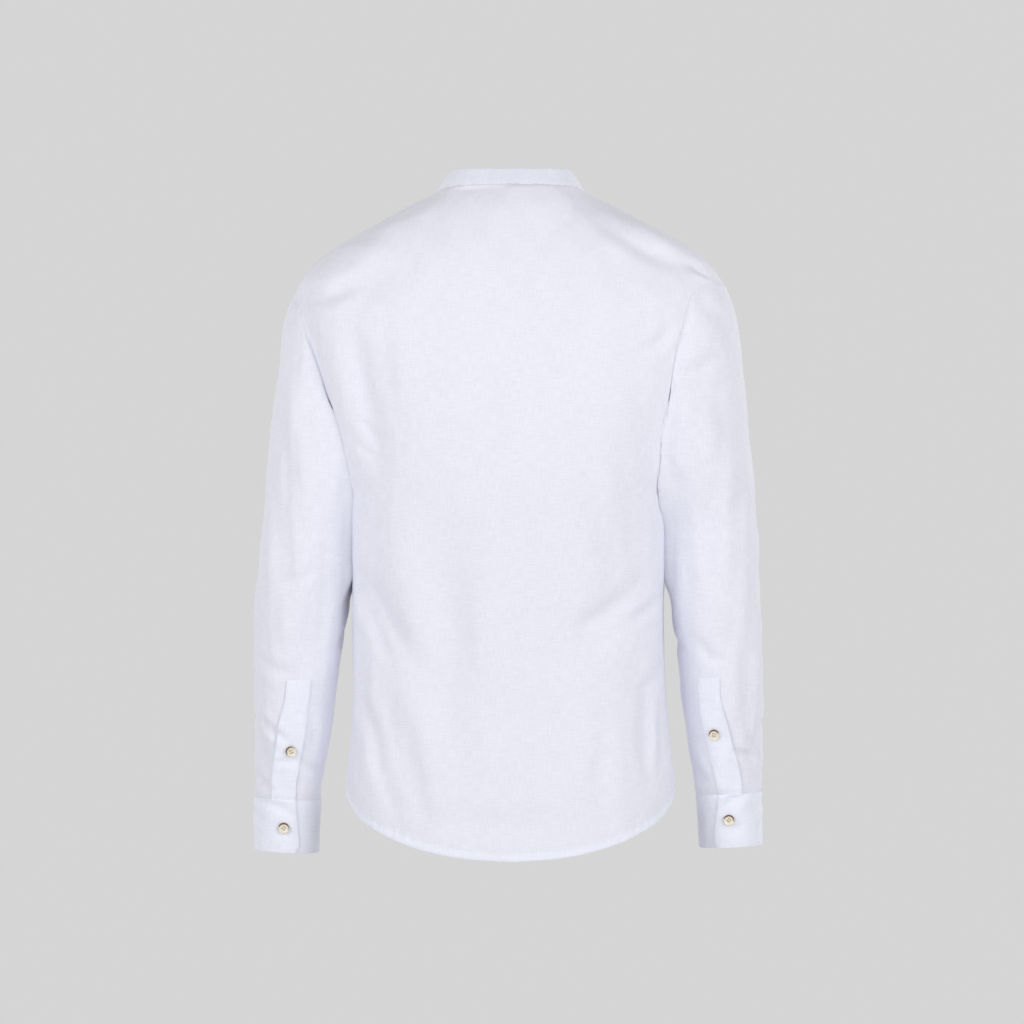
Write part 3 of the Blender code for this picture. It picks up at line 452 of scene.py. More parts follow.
@dataclass
class ShaderKit:
    """Makes the material of each finish once."""

    made: dict[Linen | Shell | Thread, bpy.types.Material] = field(default_factory=dict)
    noise_roughness: float = 0.55
    thread_detail: float = 2.0

    def material(self, finish: Linen | Shell | Thread) -> bpy.types.Material:
        """The material of a finish, made at its first use.

        Args:
            finish: the linen, shell or thread.

        Returns:
            The material.
        """
        if finish not in self.made:
            make = {Linen: self.linen, Shell: self.shell, Thread: self.thread}[type(finish)]
            self.made[finish] = make(finish)
        return self.made[finish]

    @staticmethod
    def new_group(name: str, outputs: tuple[str, ...]) -> tuple:
        """Start a shader group that reads a vector.

        Args:
            name: the group's name.
            outputs: names of the numbers that it gives.

        Returns:
            The group, its input node and its output node.
        """
        group = bpy.data.node_groups.new(name, "ShaderNodeTree")
        group.interface.new_socket("Vector", in_out="INPUT", socket_type="NodeSocketVector")
        for label in outputs:
            group.interface.new_socket(label, in_out="OUTPUT", socket_type="NodeSocketFloat")
        return group, group.nodes.new("NodeGroupInput"), group.nodes.new("NodeGroupOutput")

    @staticmethod
    def math_node(tree: bpy.types.NodeTree, operation: str, *terms) -> bpy.types.NodeSocket:
        """The output of a Math node whose terms are sockets or numbers."""
        return add_node(tree, "Math", dict(enumerate(terms)), operation=operation).outputs["Value"]

    def stretched_noise(self, tree: bpy.types.NodeTree, vector: bpy.types.NodeSocket,
                        scale: tuple[float, float, float], detail: float) -> bpy.types.NodeSocket:
        """Noise drawn out along one direction, as threads of uneven thickness are.

        Args:
            tree: where its nodes go.
            vector: the place that it is read at.
            scale: how closely it changes along each direction.
            detail: how much fine noise it has.

        Returns:
            The noise, from 0 to 1.
        """
        place = add_node(tree, "VectorMath", {0: vector, 1: scale}, operation="MULTIPLY")
        noise = add_node(tree, "TexNoise", {
            "Vector": place.outputs["Vector"], "Scale": 1.0, "Detail": detail,
            "Roughness": self.noise_roughness})
        return noise.outputs["Fac"]

    @staticmethod
    def bump(tree: bpy.types.NodeTree, shader: bpy.types.Node, height: bpy.types.NodeSocket,
             finish: Linen | Thread) -> None:
        """Let a height stand out of the shader's surface.

        Args:
            tree: where the node goes.
            shader: the material's shader.
            height: what stands out.
            finish: the cloth or thread, which says how far.
        """
        relief = add_node(tree, "Bump", {"Height": height, "Strength": finish.relief_strength,
                                         "Distance": finish.relief * MM})
        tree.links.new(relief.outputs["Normal"], shader.inputs["Normal"])

    def weave(self, linen: Linen) -> bpy.types.NodeTree:
        """Make the weave group: uneven warp and weft threads, as a tone and a height.

        Args:
            linen: the cloth's finish.

        Returns:
            The group.
        """
        group, given, result = self.new_group("linen weave", ("Tone", "Height"))
        vector = given.outputs["Vector"]
        thin, long = 1.0 / (linen.slub_width * MM), 1.0 / (linen.slub_length * MM)
        warp, weft, cloud = (self.stretched_noise(group, vector, scale, self.thread_detail)
                             for scale in ((thin, long, 1.0), (long, thin, 1.0), linen.cloud_scale))
        both = self.math_node(group, "ADD", warp, weft)
        slubs = self.math_node(group, "MULTIPLY_ADD", both, linen.slub_contrast,
                               -linen.slub_contrast)
        clouds = self.math_node(group, "MULTIPLY_ADD", cloud, linen.cloud_contrast,
                                -linen.cloud_contrast / 2.0)
        uneven = self.math_node(group, "ADD", slubs, clouds)
        tone = self.math_node(group, "ADD", uneven, 0.5)
        split = add_node(group, "SeparateXYZ", {0: vector})
        pace = math.tau / (linen.thread_pitch * MM)
        ridges = []
        for axis in ("X", "Y"):
            turn = self.math_node(group, "MULTIPLY", split.outputs[axis], pace)
            ridges.append(self.math_node(group, "SINE", turn))
        cross = self.math_node(group, "MULTIPLY", *ridges)
        lifted = self.math_node(group, "MULTIPLY_ADD", cross, linen.cross_height,
                                linen.rest_height)
        height = self.math_node(group, "MULTIPLY_ADD", both, linen.slub_height, lifted)
        group.links.new(tone, result.inputs["Tone"])
        group.links.new(height, result.inputs["Height"])
        return group

    def linen(self, finish: Linen) -> bpy.types.Material:
        """Make the cloth's material, read on the piece's own cloth map and layer count.

        Args:
            finish: the cloth's colours, weave and fuzz.

        Returns:
            The material.
        """
        material, tree, shader = start_material(finish.name, {
            "Roughness": finish.roughness, "Specular IOR Level": finish.gloss,
            "Sheen Weight": finish.fuzz, "Sheen Roughness": finish.fuzz_roughness})
        flat = add_node(tree, "UVMap", uv_map="cloth")
        weave = add_node(tree, "Group", node_tree=self.weave(finish))
        tree.links.new(flat.outputs["UV"], weave.inputs["Vector"])
        layers = add_node(tree, "Attribute", attribute_name="layers")
        cloth = add_node(tree, "Mix", {
            "A": (*finish.single, 1.0), "B": (*finish.double, 1.0),
            "Factor": layers.outputs["Fac"]}, data_type="RGBA")
        level = add_node(tree, "MapRange", {
            "From Min": finish.tone_read[0], "From Max": finish.tone_read[1],
            "To Min": finish.tones[0], "To Max": finish.tones[1],
            "Value": weave.outputs["Tone"]})
        tint = add_node(tree, "Mix", {
            "Factor": 1.0, "A": cloth.outputs["Result"], "B": level.outputs["Result"]},
            data_type="RGBA", blend_type="MULTIPLY")
        tree.links.new(tint.outputs["Result"], shader.inputs["Base Color"])
        self.bump(tree, shader, weave.outputs["Height"], finish)
        return material

    def shell(self, finish: Shell) -> bpy.types.Material:
        """Make the buttons' material: marbling that gathers on one side of the rim.

        Args:
            finish: the shell's colours, gloss and veins.

        Returns:
            The material.
        """
        material, tree, shader = start_material(finish.name, {
            "Roughness": finish.roughness, "Coat Weight": finish.coat,
            "Coat Roughness": finish.coat_roughness})
        marble = add_node(tree, "Attribute", attribute_name="marble")
        place = add_node(tree, "TexCoord")
        veins = self.stretched_noise(tree, place.outputs["Object"], finish.vein_scale,
                                     finish.vein_detail)
        uneven = self.math_node(tree, "MULTIPLY_ADD", veins, finish.vein_contrast,
                                -finish.vein_contrast / 2.0)
        amount = self.math_node(tree, "ADD", marble.outputs["Fac"], uneven)
        ramp = add_node(tree, "ValToRGB", {"Fac": amount})
        for stop, reached, color in zip(ramp.color_ramp.elements, finish.stops,
                                        (finish.cream, finish.brown)):
            stop.position = reached
            stop.color = (*color, 1.0)
        tree.links.new(ramp.outputs["Color"], shader.inputs["Base Color"])
        return material

    def thread(self, finish: Thread) -> bpy.types.Material:
        """Make the stitches' material, with the twist of the thread.

        Args:
            finish: the thread's colour and twist.

        Returns:
            The material.
        """
        material, tree, shader = start_material(finish.name, {
            "Base Color": (*finish.color, 1.0), "Roughness": finish.roughness})
        place = add_node(tree, "TexCoord")
        wave = add_node(tree, "TexWave", {
            "Scale": 1.0 / (finish.twist * MM) / math.tau, "Vector": place.outputs["Object"]},
            bands_direction="DIAGONAL")
        self.bump(tree, shader, wave.outputs["Fac"], finish)
        return material


class OuterSide:
    """Rows and columns of points on the outer side of a cloth wall's solid.

    Rows run down, and columns run so that the cloth faces outwards. A tube is cut open
    above its slit, so that its first and last column are the same line.
    """

    CORNER = math.radians(55.0)
    QUAD_PULL = 1.6

    def __init__(self, node: str, tube: bool) -> None:
        """Read the node's outer side.

        Args:
            node: the solid's name in the frame.
            tube: whether it is closed round, but for its slit.
        """
        sheet = self.outer_faces(node)
        if tube:
            self.cut_open(sheet)
        grid = self.rows_and_columns(sheet)
        points = np.array([[vertex.co for vertex in row] for row in grid])
        outward = np.array([[vertex.normal for vertex in row] for row in grid])
        sheet.free()
        drop_rows = abs(points[0, :, 2].mean() - points[-1, :, 2].mean())
        drop_columns = abs(points[:, 0, 2].mean() - points[:, -1, 2].mean())
        if drop_columns > drop_rows:
            points, outward = points.transpose(1, 0, 2), outward.transpose(1, 0, 2)
        if points[0, :, 2].mean() < points[-1, :, 2].mean():
            points, outward = points[::-1], outward[::-1]
        if (grid_facings(points, False) * outward).sum() < 0.0:
            points = points[:, ::-1]
        self.points = points

    def outer_faces(self, node: str) -> bmesh.types.BMesh:
        """The largest stretch of the node's surface with no sharp edge in it.

        Args:
            node: the solid's name in the frame.

        Returns:
            That stretch alone.
        """
        sheet = bmesh.new()
        sheet.from_mesh(frame["nodes"][node].data)
        bmesh.ops.remove_doubles(sheet, verts=sheet.verts[:], dist=MERGE)
        sheet.normal_update()
        seen: set[bmesh.types.BMFace] = set()
        largest: list[bmesh.types.BMFace] = []
        largest_area = 0.0
        for face in sheet.faces:
            if face in seen:
                continue
            stretch = [face]
            seen.add(face)
            for member in stretch:
                for edge in member.edges:
                    if edge.calc_face_angle(math.pi) > self.CORNER:
                        continue
                    fresh = [other for other in edge.link_faces if other not in seen]
                    seen.update(fresh)
                    stretch.extend(fresh)
            area = sum(member.calc_area() for member in stretch)
            if area > largest_area:
                largest, largest_area = stretch, area
        keep = set(largest)
        rest = [face for face in sheet.faces if face not in keep]
        bmesh.ops.delete(sheet, geom=rest, context="FACES")
        sheet.normal_update()
        return sheet

    @staticmethod
    def cut_open(sheet: bmesh.types.BMesh) -> None:
        """Cut a tube from the top of its slit straight up to its first ring.

        Args:
            sheet: the tube's outer faces.
        """
        bmesh.ops.join_triangles(sheet, faces=sheet.faces[:], angle_face_threshold=math.pi,
                                 angle_shape_threshold=math.pi, topology_influence=OuterSide.QUAD_PULL)

        def opening(vertex: bmesh.types.BMVert) -> float:
            """Angle between the rim's two edges at a point, least at the slit's top."""
            lips = [edge.other_vert(vertex).co - vertex.co
                    for edge in vertex.link_edges if edge.is_boundary]
            return lips[0].angle(lips[1])

        here = min((v for v in sheet.verts if v.is_boundary), key=opening)
        beside = {face for edge in here.link_edges if edge.is_boundary
                  for face in edge.link_faces}
        path = []
        while not path or not here.is_boundary:
            step = next(edge for edge in here.link_edges
                        if not edge.is_boundary and not beside & set(edge.link_faces))
            path.append(step)
            beside = set(step.link_faces)
            here = step.other_vert(here)
        bmesh.ops.split_edges(sheet, edges=path)

    @staticmethod
    def rows_and_columns(sheet: bmesh.types.BMesh) -> list[list[bmesh.types.BMVert]]:
        """Put the sheet's points in rows and columns, working in from its rim.

        Args:
            sheet: the outer faces, open all round.

        Returns:
            The rows, each a list of points.
        """
        start = next(vertex for vertex in sheet.verts if vertex.is_boundary)
        rim = [start]
        edge = next(e for e in start.link_edges if e.is_boundary)
        while edge.other_vert(rim[-1]) is not start:
            rim.append(edge.other_vert(rim[-1]))
            edge = next(e for e in rim[-1].link_edges if e.is_boundary and e is not edge)
        count = len(rim)
        turns = []
        for k, vertex in enumerate(rim):
            before = vertex.co - rim[k - 1].co
            after = rim[(k + 1) % count].co - vertex.co
            turns.append(before.angle(after))
        both = (count + 4) // 2
        apart = math.isqrt(both * both - 4 * len(sheet.verts))
        choices = []
        for across in {(both + apart) // 2, (both - apart) // 2}:
            wide, tall = across - 1, both - across - 1
            for first in range(count):
                corners = (first, first + wide, first + wide + tall, first - tall)
                choices.append((sum(turns[c % count] for c in corners), first, wide, tall))
        _, first, wide, tall = max(choices)
        grid = [[rim[(first + j) % count] for j in range(wide + 1)]]
        placed = set(grid[0])
        for i in range(1, tall + 1):
            row = [rim[(first - i) % count]]
            placed.add(row[0])
            for j in range(1, wide + 1):
                above = {e.other_vert(grid[i - 1][j]) for e in grid[i - 1][j].link_edges}
                beside = {e.other_vert(row[-1]) for e in row[-1].link_edges}
                row.append((above & beside - placed).pop())
                placed.add(row[-1])
            grid.append(row)
        return grid


@dataclass
class ClothPiece:
    """A cut piece of the shirt: a thin shell on the form of its solid."""

    node: str
    edges: dict[Edge, EdgeFinish]
    cut: tuple[float, float]
    cut_area: float
    folds: tuple[Fold, ...] = ()
    waves: tuple[Undulation, ...] = ()
    finish: Linen = Linen()
    tube: bool = False
    layers: float = 0.0
    wall: float = 0.9
    proud: float = 0.0
    corner_trim: float = 1.8
    column_step: float = 2.5
    row_step: float = 3.2
    edge_steps: tuple[float, ...] = (0.0, 0.5, 1.1, 1.9, 3.0, 4.4, 6.0, 7.6, 9.4)
    lap_columns: int = 4
    closed_gap: float = 0.12
    band_lead: float = 0.4
    band_slope: float = 1.4
    pucker_place: float = 0.8
    pucker_width: float = 6.0
    groove: float = 0.22
    groove_width: float = 0.9
    sharp: float = 48.0
    stitch_lines: list[tuple[np.ndarray, np.ndarray]] = field(default_factory=list)

    def places(self, spans: np.ndarray, step: float, first: EdgeFinish,
               last: EdgeFinish) -> np.ndarray:
        """Where the smooth curves are read, closer together beside the finished edges.

        Args:
            spans: mean distances between the solid's points, in millimetres.
            step: distance between the readings away from the edges.
            first: how the first edge is finished.
            last: how the last edge is finished.

        Returns:
            Places in numbers of points from the first.
        """
        reached = running_sum(spans)
        total = reached[-1]
        close = max(self.edge_steps)
        inner = np.linspace(close, total - close, max(int((total - 2 * close) / step), 2))
        near = np.array(self.edge_steps)
        even = np.linspace(0.0, close, max(int(close / step), 2) + 1)
        head = near if first.roll else even
        tail = total - (near if last.roll else even)
        lengths = np.unique(np.round(np.concatenate([head, inner, tail]), 4))
        return np.interp(lengths, reached, np.arange(len(reached)))

    def read_form(self) -> None:
        """Draw smooth curves through the solid's points and read them closely."""
        side = OuterSide(self.node, self.tube)
        coarse = side.points
        wide = np.linalg.norm(np.diff(coarse, axis=1), axis=2).mean(axis=0) / MM
        tall = np.linalg.norm(np.diff(coarse, axis=0), axis=2).mean(axis=1) / MM
        rows = self.places(tall, self.row_step, self.edges[Edge.TOP], self.edges[Edge.BOTTOM])
        columns = self.places(wide, self.column_step, self.edges[Edge.START],
                              self.edges[Edge.END])
        self.row_places, self.column_places = rows, columns
        down = spline_weights(coarse.shape[0], rows)
        if self.tube:
            lap = self.lap_columns
            coarse = np.concatenate([coarse[:, -1 - lap:-1], coarse, coarse[:, 1:1 + lap]], axis=1)
            round_ = spline_weights(coarse.shape[1], columns + lap)
            self.form = np.einsum("ri,ijk,cj->rck", down, coarse, round_)
        else:
            self.form = read_across(np.einsum("ri,ijk->rjk", down, coarse), columns)

    def measure(self) -> None:
        """Work out the form's facings and the distances to its edges."""
        self.form_facings = grid_facings(self.form, self.tube)
        along = np.linalg.norm(np.diff(self.form, axis=1), axis=2) / MM
        below = np.linalg.norm(np.diff(self.form, axis=0), axis=2) / MM
        across, drop = running_sum(along, axis=1), running_sum(below)
        self.reach = {Edge.START: across, Edge.END: across[:, -1:] - across,
                      Edge.TOP: drop, Edge.BOTTOM: drop[-1:] - drop}

    def edge_relief(self) -> tuple[np.ndarray, np.ndarray]:
        """Heights that the edges' bands, rolls, stitches and puckers give.

        Returns:
            Outward moves in metres, and the share of doubled cloth at each point.
        """
        total = np.zeros(self.form.shape[:2])
        doubled = np.full(self.form.shape[:2], self.layers)
        for edge, finish in self.edges.items():
            reach = self.reach[edge]
            if finish.roll:
                total -= finish.roll * np.exp(-(reach / finish.roll_width) ** 2)
            if finish.band:
                past = (reach - finish.band + self.band_lead) / self.band_slope
                inside = 1.0 - smooth_step(past)
                total += finish.rise * inside
                if finish.whiter:
                    doubled = np.maximum(doubled, inside)
            if finish.pucker:
                length = self.reach[Edge.TOP if edge.upright else Edge.START]
                wave = sum(share * np.sin(length * math.tau / pitch + wander * np.sin(length / slow))
                           for share, pitch, wander, slow in PUCKERS)
                place = finish.band * self.pucker_place
                fade = np.exp(-((reach - place) / self.pucker_width) ** 2)
                total += finish.pucker * wave * fade
            sewn = self.within(edge, finish.spans).astype(float)
            sewn = sewn[:, None] if edge.upright else sewn[None, :]
            for distance in finish.stitches:
                line = np.exp(-((reach - distance) / self.groove_width) ** 2)
                total -= self.groove * sewn * line
        return total * MM, doubled

    def within(self, edge: Edge, spans: tuple[tuple[float, float], ...]) -> np.ndarray:
        """Which points along an edge lie between the given rows or columns of the solid."""
        places = self.row_places if edge.upright else self.column_places
        return np.any([(places >= low) & (places <= high) for low, high in spans], axis=0)

    def stillness(self) -> np.ndarray:
        """Shares of the waves that the edges' seams let through.

        Returns:
            One share for each point, 0 at a still edge.
        """
        free = np.ones(self.form.shape[:2])
        for edge, finish in self.edges.items():
            if finish.still:
                free = free * smooth_step(self.reach[edge] / finish.still)
        return free

    def tuck(self, points: np.ndarray, facings: np.ndarray) -> np.ndarray:
        """Carry the edges that lie under a neighbour on below it.

        Args:
            points: the cloth's outer side.
            facings: its facings.

        Returns:
            The outer side with its edges carried on.
        """
        moved = points.copy()
        ends = {Edge.TOP: (0, 1), Edge.BOTTOM: (-1, -2), Edge.START: (0, 1), Edge.END: (-1, -2)}
        for edge, finish in self.edges.items():
            if not finish.run_on:
                continue
            last, inner = ends[edge]
            rim, beside = ((slice(None), last), (slice(None), inner)) if edge.upright \
                else (last, inner)
            away = points[rim] - points[beside]
            away /= np.linalg.norm(away, axis=1, keepdims=True)
            weight = self.within(edge, finish.tucked)[:, None] * MM
            moved[rim] += (away * finish.run_on - facings[rim] * finish.sink) * weight
        return moved

    def settle(self) -> None:
        """Adjust the smooth form before its folds: nothing for a plain piece."""

    def shape(self) -> None:
        """Work out the finished outer side and the share of doubled cloth on it."""
        self.read_form()
        self.measure()
        self.settle()
        self.measure()
        free = self.stillness()
        move = np.zeros(self.form.shape[:2])
        for fold in self.folds:
            move += fold.press(self.form, self.form_facings)
        for wave in self.waves:
            move += wave.press(self.form)
        relief, self.doubled = self.edge_relief()
        move = move * free + relief
        points = self.form + self.form_facings * (move[..., None] + self.proud * MM)
        points = self.tuck(points, self.form_facings)
        if self.tube:
            ring = self.closed_rows()
            points[ring, -1] = points[ring, 0]
        self.points = points
        self.facings = grid_facings(points, self.tube)

    def cloth_map(self) -> np.ndarray:
        """Place of each point on the flat cloth, in metres: across and up."""
        middle = self.reach[Edge.START] - self.reach[Edge.START][:, -1:] / 2.0
        return np.stack([middle, self.reach[Edge.BOTTOM]], axis=2) * MM

    def closed_rows(self) -> np.ndarray:
        """Which rows of a tube close on themselves."""
        gaps = np.linalg.norm(self.form[:, 0] - self.form[:, -1], axis=1)
        return gaps < self.closed_gap * MM

    def build(self, kit: ShaderKit) -> bpy.types.Object:
        """Make the piece's mesh, wall, cloth map and material.

        Args:
            kit: where the materials come from.

        Returns:
            The finished piece.
        """
        self.shape()
        row_count, column_count = self.points.shape[:2]
        sheet = bmesh.new()
        bmesh.ops.create_grid(sheet, x_segments=column_count - 1, y_segments=row_count - 1,
                              size=1.0)
        sheet.verts.ensure_lookup_table()
        cloth = sheet.loops.layers.uv.new("cloth")
        layer = sheet.verts.layers.float.new("layers")
        flat = self.cloth_map()
        for vertex in sheet.verts:
            i, j = divmod(vertex.index, column_count)
            vertex.co = self.points[i, j]
            vertex[layer] = self.doubled[i, j]
            for loop in vertex.link_loops:
                loop[cloth].uv = flat[i, j]
        i, j = row_count // 2, column_count // 2
        middle, out = sheet.verts[i * column_count + j], Vector(self.facings[i, j])
        bmesh.ops.remove_doubles(sheet, verts=sheet.verts[:], dist=MERGE)
        bmesh.ops.recalc_face_normals(sheet, faces=sheet.faces[:])
        if middle.link_faces[0].normal.dot(out) < 0.0:
            bmesh.ops.reverse_faces(sheet, faces=sheet.faces[:])
        blank = add_mesh(f"{self.node}_cloth", sheet)
        wall = blank.modifiers.new("wall", "SOLIDIFY")
        wall.thickness = self.wall * MM
        wall.offset = -1.0
        apply_modifiers(blank)
        self.lay_stitch_lines()
        return dress(blank, self.node, kit.material(self.finish), self.sharp, stands_in=True)

    def line_beside(self, edge: Edge, distance: float, trim: float = 0.0,
                    span: tuple[float, float] = WHOLE_EDGE[0]) -> tuple[np.ndarray, np.ndarray]:
        """A line at a distance from an edge.

        Args:
            edge: the edge that it follows.
            distance: how far from the edge it lies.
            trim: how far from the neighbouring edges it stops.
            span: the solid's rows or columns between which it runs.

        Returns:
            Points on the line, and the cloth's facings there.
        """
        lengthwise = edge.upright
        reach = self.reach[edge] if lengthwise else self.reach[edge].T
        points = self.points if lengthwise else self.points.transpose(1, 0, 2)
        facings = self.facings if lengthwise else self.facings.transpose(1, 0, 2)
        sides = (Edge.TOP, Edge.BOTTOM) if lengthwise else (Edge.START, Edge.END)
        others = [self.reach[s] if lengthwise else self.reach[s].T for s in sides]
        flip = slice(None, None, -1) if edge in (Edge.END, Edge.BOTTOM) else slice(None)
        places = self.row_places if lengthwise else self.column_places
        line, directions = [], []
        for k, place in enumerate(places):
            ruler = reach[k][flip]
            values = np.concatenate([points[k][flip], facings[k][flip],
                                     np.stack([o[k][flip] for o in others], axis=1)], axis=1)
            read = np.array([np.interp(distance, ruler, column) for column in values.T])
            if min(read[6], read[7]) >= trim - 1e-6 and span[0] <= place <= span[1]:
                line.append(read[:3])
                directions.append(read[3:6])
        return np.array(line), np.array(directions)

    def lay_stitch_lines(self) -> None:
        """Collect the stitch lines that the edges' finishes ask for."""
        for edge, finish in self.edges.items():
            for distance in finish.stitches:
                for span in finish.spans:
                    trim = min(distance, self.corner_trim)
                    self.stitch_lines.append(self.line_beside(edge, distance, trim, span))


@dataclass
class PanelPiece(ClothPiece):
    """A back or front, cut with its threads upright."""

    neck_corners: tuple[float, ...] = ()
    corner_reach: float = 2.2
    corner_rows: float = 9.0
    corner_ease: float = 3.0
    corner_passes: int = 90
    corner_sharpness: float = 1.6
    pass_share: float = 0.8

    def settle(self) -> None:
        """Ease the rows' turns below the ends of the neck edge."""
        share = np.zeros(self.form.shape[:2])
        down = smooth_step((self.corner_rows - self.row_places) / self.corner_ease)
        for corner in self.neck_corners:
            near = 1.0 - np.abs(self.column_places - corner) / self.corner_reach
            share = np.maximum(share, down[:, None] * smooth_step(near * self.corner_sharpness)[None, :])
        inner = share[1:-1, 1:-1, None]
        for _ in range(self.corner_passes):
            form = self.form
            mean = (form[:-2, 1:-1] + form[2:, 1:-1] + form[1:-1, :-2] + form[1:-1, 2:]) / 4.0
            form[1:-1, 1:-1] += (mean - form[1:-1, 1:-1]) * inner * self.pass_share

    def cloth_map(self) -> np.ndarray:
        """Place of each point on the flat cloth, with level threads at the hem.

        Returns:
            Distances across and heights, in metres.
        """
        step = np.diff(self.form, axis=1)
        across = running_sum(np.hypot(step[..., 0], step[..., 1]), axis=1)
        middle = [np.interp(0.0, *order) for order in (
            (row[:, 0][::self.run], line[::self.run]) for row, line in zip(self.form, across))]
        across = across - np.array(middle)[:, None]
        step = np.diff(self.form, axis=0)
        drop = running_sum(np.hypot(step[..., 1], step[..., 2]))
        up = drop[-1:] - drop + self.form[-1:, :, 2]
        return np.stack([across, up], axis=2)

    @property
    def run(self) -> int:
        """Direction in which the columns go towards the wearer's left."""
        return 1 if self.form[-1, -1, 0] > self.form[-1, 0, 0] else -1


@dataclass
class TubePiece(ClothPiece):
    """A sleeve, whose inner side rests against the body."""

    trunk: tuple[str, ...] = ("back", "front_left", "front_right")
    clearance: float = 0.6
    furthest: float = 15.0
    fade: float = 6.0
    contact: tuple[float, float] = (-462.0, -205.0)
    contact_ease: tuple[float, float] = (34.0, 45.0)
    inner_sharpness: float = 1.5
    least_share: float = 0.02
    radius: float = 52.0

    def settle(self) -> None:
        """Rest the inner side against the body below the armhole."""
        body = bmesh.new()
        for node in self.trunk:
            body.from_mesh(frame["nodes"][node].data)
        tree = BVHTree.FromBMesh(body)
        body.free()
        side = np.sign(self.form[..., 0].mean())
        inward = smooth_step(-self.form_facings[..., 0] * side * self.inner_sharpness)
        heights = self.form[..., 2] / MM
        (low, high), (below, above) = self.contact, self.contact_ease
        share = inward * (smooth_step((heights - low) / below)
                          * smooth_step((high - heights) / above))
        towards = Vector((-side, 0.0, 0.0))
        for i, j in np.argwhere(share > self.least_share):
            hit = tree.ray_cast(Vector(self.form[i, j]), towards, self.furthest * MM)
            if hit[0]:
                gap = max(hit[3] - self.clearance * MM, 0.0)
                near = smooth_step((self.furthest - hit[3] / MM) / self.fade)
                self.form[i, j, 0] -= side * share[i, j] * near * gap

    def cloth_map(self) -> np.ndarray:
        """Place of each point on the flat cloth: round the sleeve's middle line and up.

        Returns:
            Distances round and heights, in metres.
        """
        rings = self.form[len(self.form) // 2:]
        middles = rings.mean(axis=1)
        heights = self.form[..., 2]
        centre = [np.polyval(np.polyfit(middles[:, 2], middles[:, axis], 1), heights)
                  for axis in (0, 1)]
        angles = np.arctan2(self.form[..., 1] - centre[1], self.form[..., 0] - centre[0])
        around = np.unwrap(angles, axis=1)
        around += math.tau * np.round((around[-1, 0] - around[:, :1]) / math.tau)
        return np.stack([around * self.radius * MM, heights], axis=2)


@dataclass
class BandPiece(ClothPiece):
    """A collar band whose top edge rises at the neck's sides."""

    side_rise: float = 2.4
    back_drop: float = 2.4
    reach_out: float = 67.0
    back_ease: float = 40.0

    def settle(self) -> None:
        """Level the top edge as it looks from behind."""
        sideways = np.clip(np.abs(self.form[..., 0]) / MM / self.reach_out, 0.0, 1.0) ** 4
        behind = smooth_step(self.form[..., 1] / MM / self.back_ease)
        height = self.reach[Edge.BOTTOM] / (self.reach[Edge.BOTTOM] + self.reach[Edge.TOP])
        lift = self.side_rise * sideways - self.back_drop * behind
        self.form[..., 2] += lift * height * MM


@dataclass
class StripPiece(ClothPiece):
    """A placket strip that widens below its stitched box."""

    wide_edge: Edge = Edge.START
    spread: float = 5.0
    spread_start: float = 15.6
    spread_ease: float = 40.0

    def settle(self) -> None:
        """Draw the edge away from the opening out sideways below the box."""
        toward = self.reach[Edge.END if self.wide_edge is Edge.START else Edge.START]
        share = toward / toward.max(axis=1, keepdims=True)
        below = smooth_step((self.reach[Edge.TOP] - self.spread_start) / self.spread_ease)
        across = np.gradient(self.form, axis=1)
        across /= np.linalg.norm(across, axis=2, keepdims=True)
        sign = -1.0 if self.wide_edge is Edge.START else 1.0
        self.form += across * (sign * self.spread * share * below * MM)[..., None]


@dataclass
class Stitching:
    """Rows of lock stitches along lines on the cloth."""

    name: str
    slot: str
    pitch: float = 3.0
    length: float = 2.3
    thickness: float = 0.42
    lead: float = 0.12
    lift: float = 0.12
    flatness: float = 0.42
    finish: Thread = Thread()

    def build(self, lines: list[tuple[np.ndarray, np.ndarray]],
              kit: ShaderKit) -> bpy.types.Object:
        """Lay a stitch along every step of the lines.

        Args:
            lines: points and facings of each line.
            kit: where the materials come from.

        Returns:
            All the stitches as one piece.
        """
        seam = bmesh.new()
        for points, facings in lines:
            self.sew(seam, points, facings)
        return dress(add_mesh(self.name, seam), self.slot, kit.material(self.finish))

    def sew(self, seam: bmesh.types.BMesh, points: np.ndarray, facings: np.ndarray) -> None:
        """Add one row of stitches.

        Args:
            seam: where they go.
            points: the line that they follow.
            facings: the cloth's facings along it.
        """
        spans = np.linalg.norm(np.diff(points, axis=0), axis=1)
        reached = running_sum(spans)
        count = int(reached[-1] / (self.pitch * MM))
        for k in range(count):
            ends = [(k + share) * self.pitch * MM
                    for share in (self.lead, self.lead + self.length / self.pitch)]
            a, b = (Vector([np.interp(e, reached, points[:, c]) for c in range(3)]) for e in ends)
            up = Vector([np.interp(sum(ends) / 2.0, reached, facings[:, c]) for c in range(3)])
            along = (b - a).normalized()
            up = (up - along * up.dot(along)).normalized()
            middle = (a + b) / 2.0 + up * self.thickness * self.lift * MM
            turned = Matrix((along, up.cross(along), up)).transposed().to_4x4()
            size = Matrix.Diagonal(((b - a).length / 2.0, self.thickness / 2.0 * MM,
                                    self.thickness * self.flatness * MM, 1.0))
            bmesh.ops.create_icosphere(seam, subdivisions=1, radius=1.0,
                                       matrix=Matrix.Translation(middle) @ turned @ size)


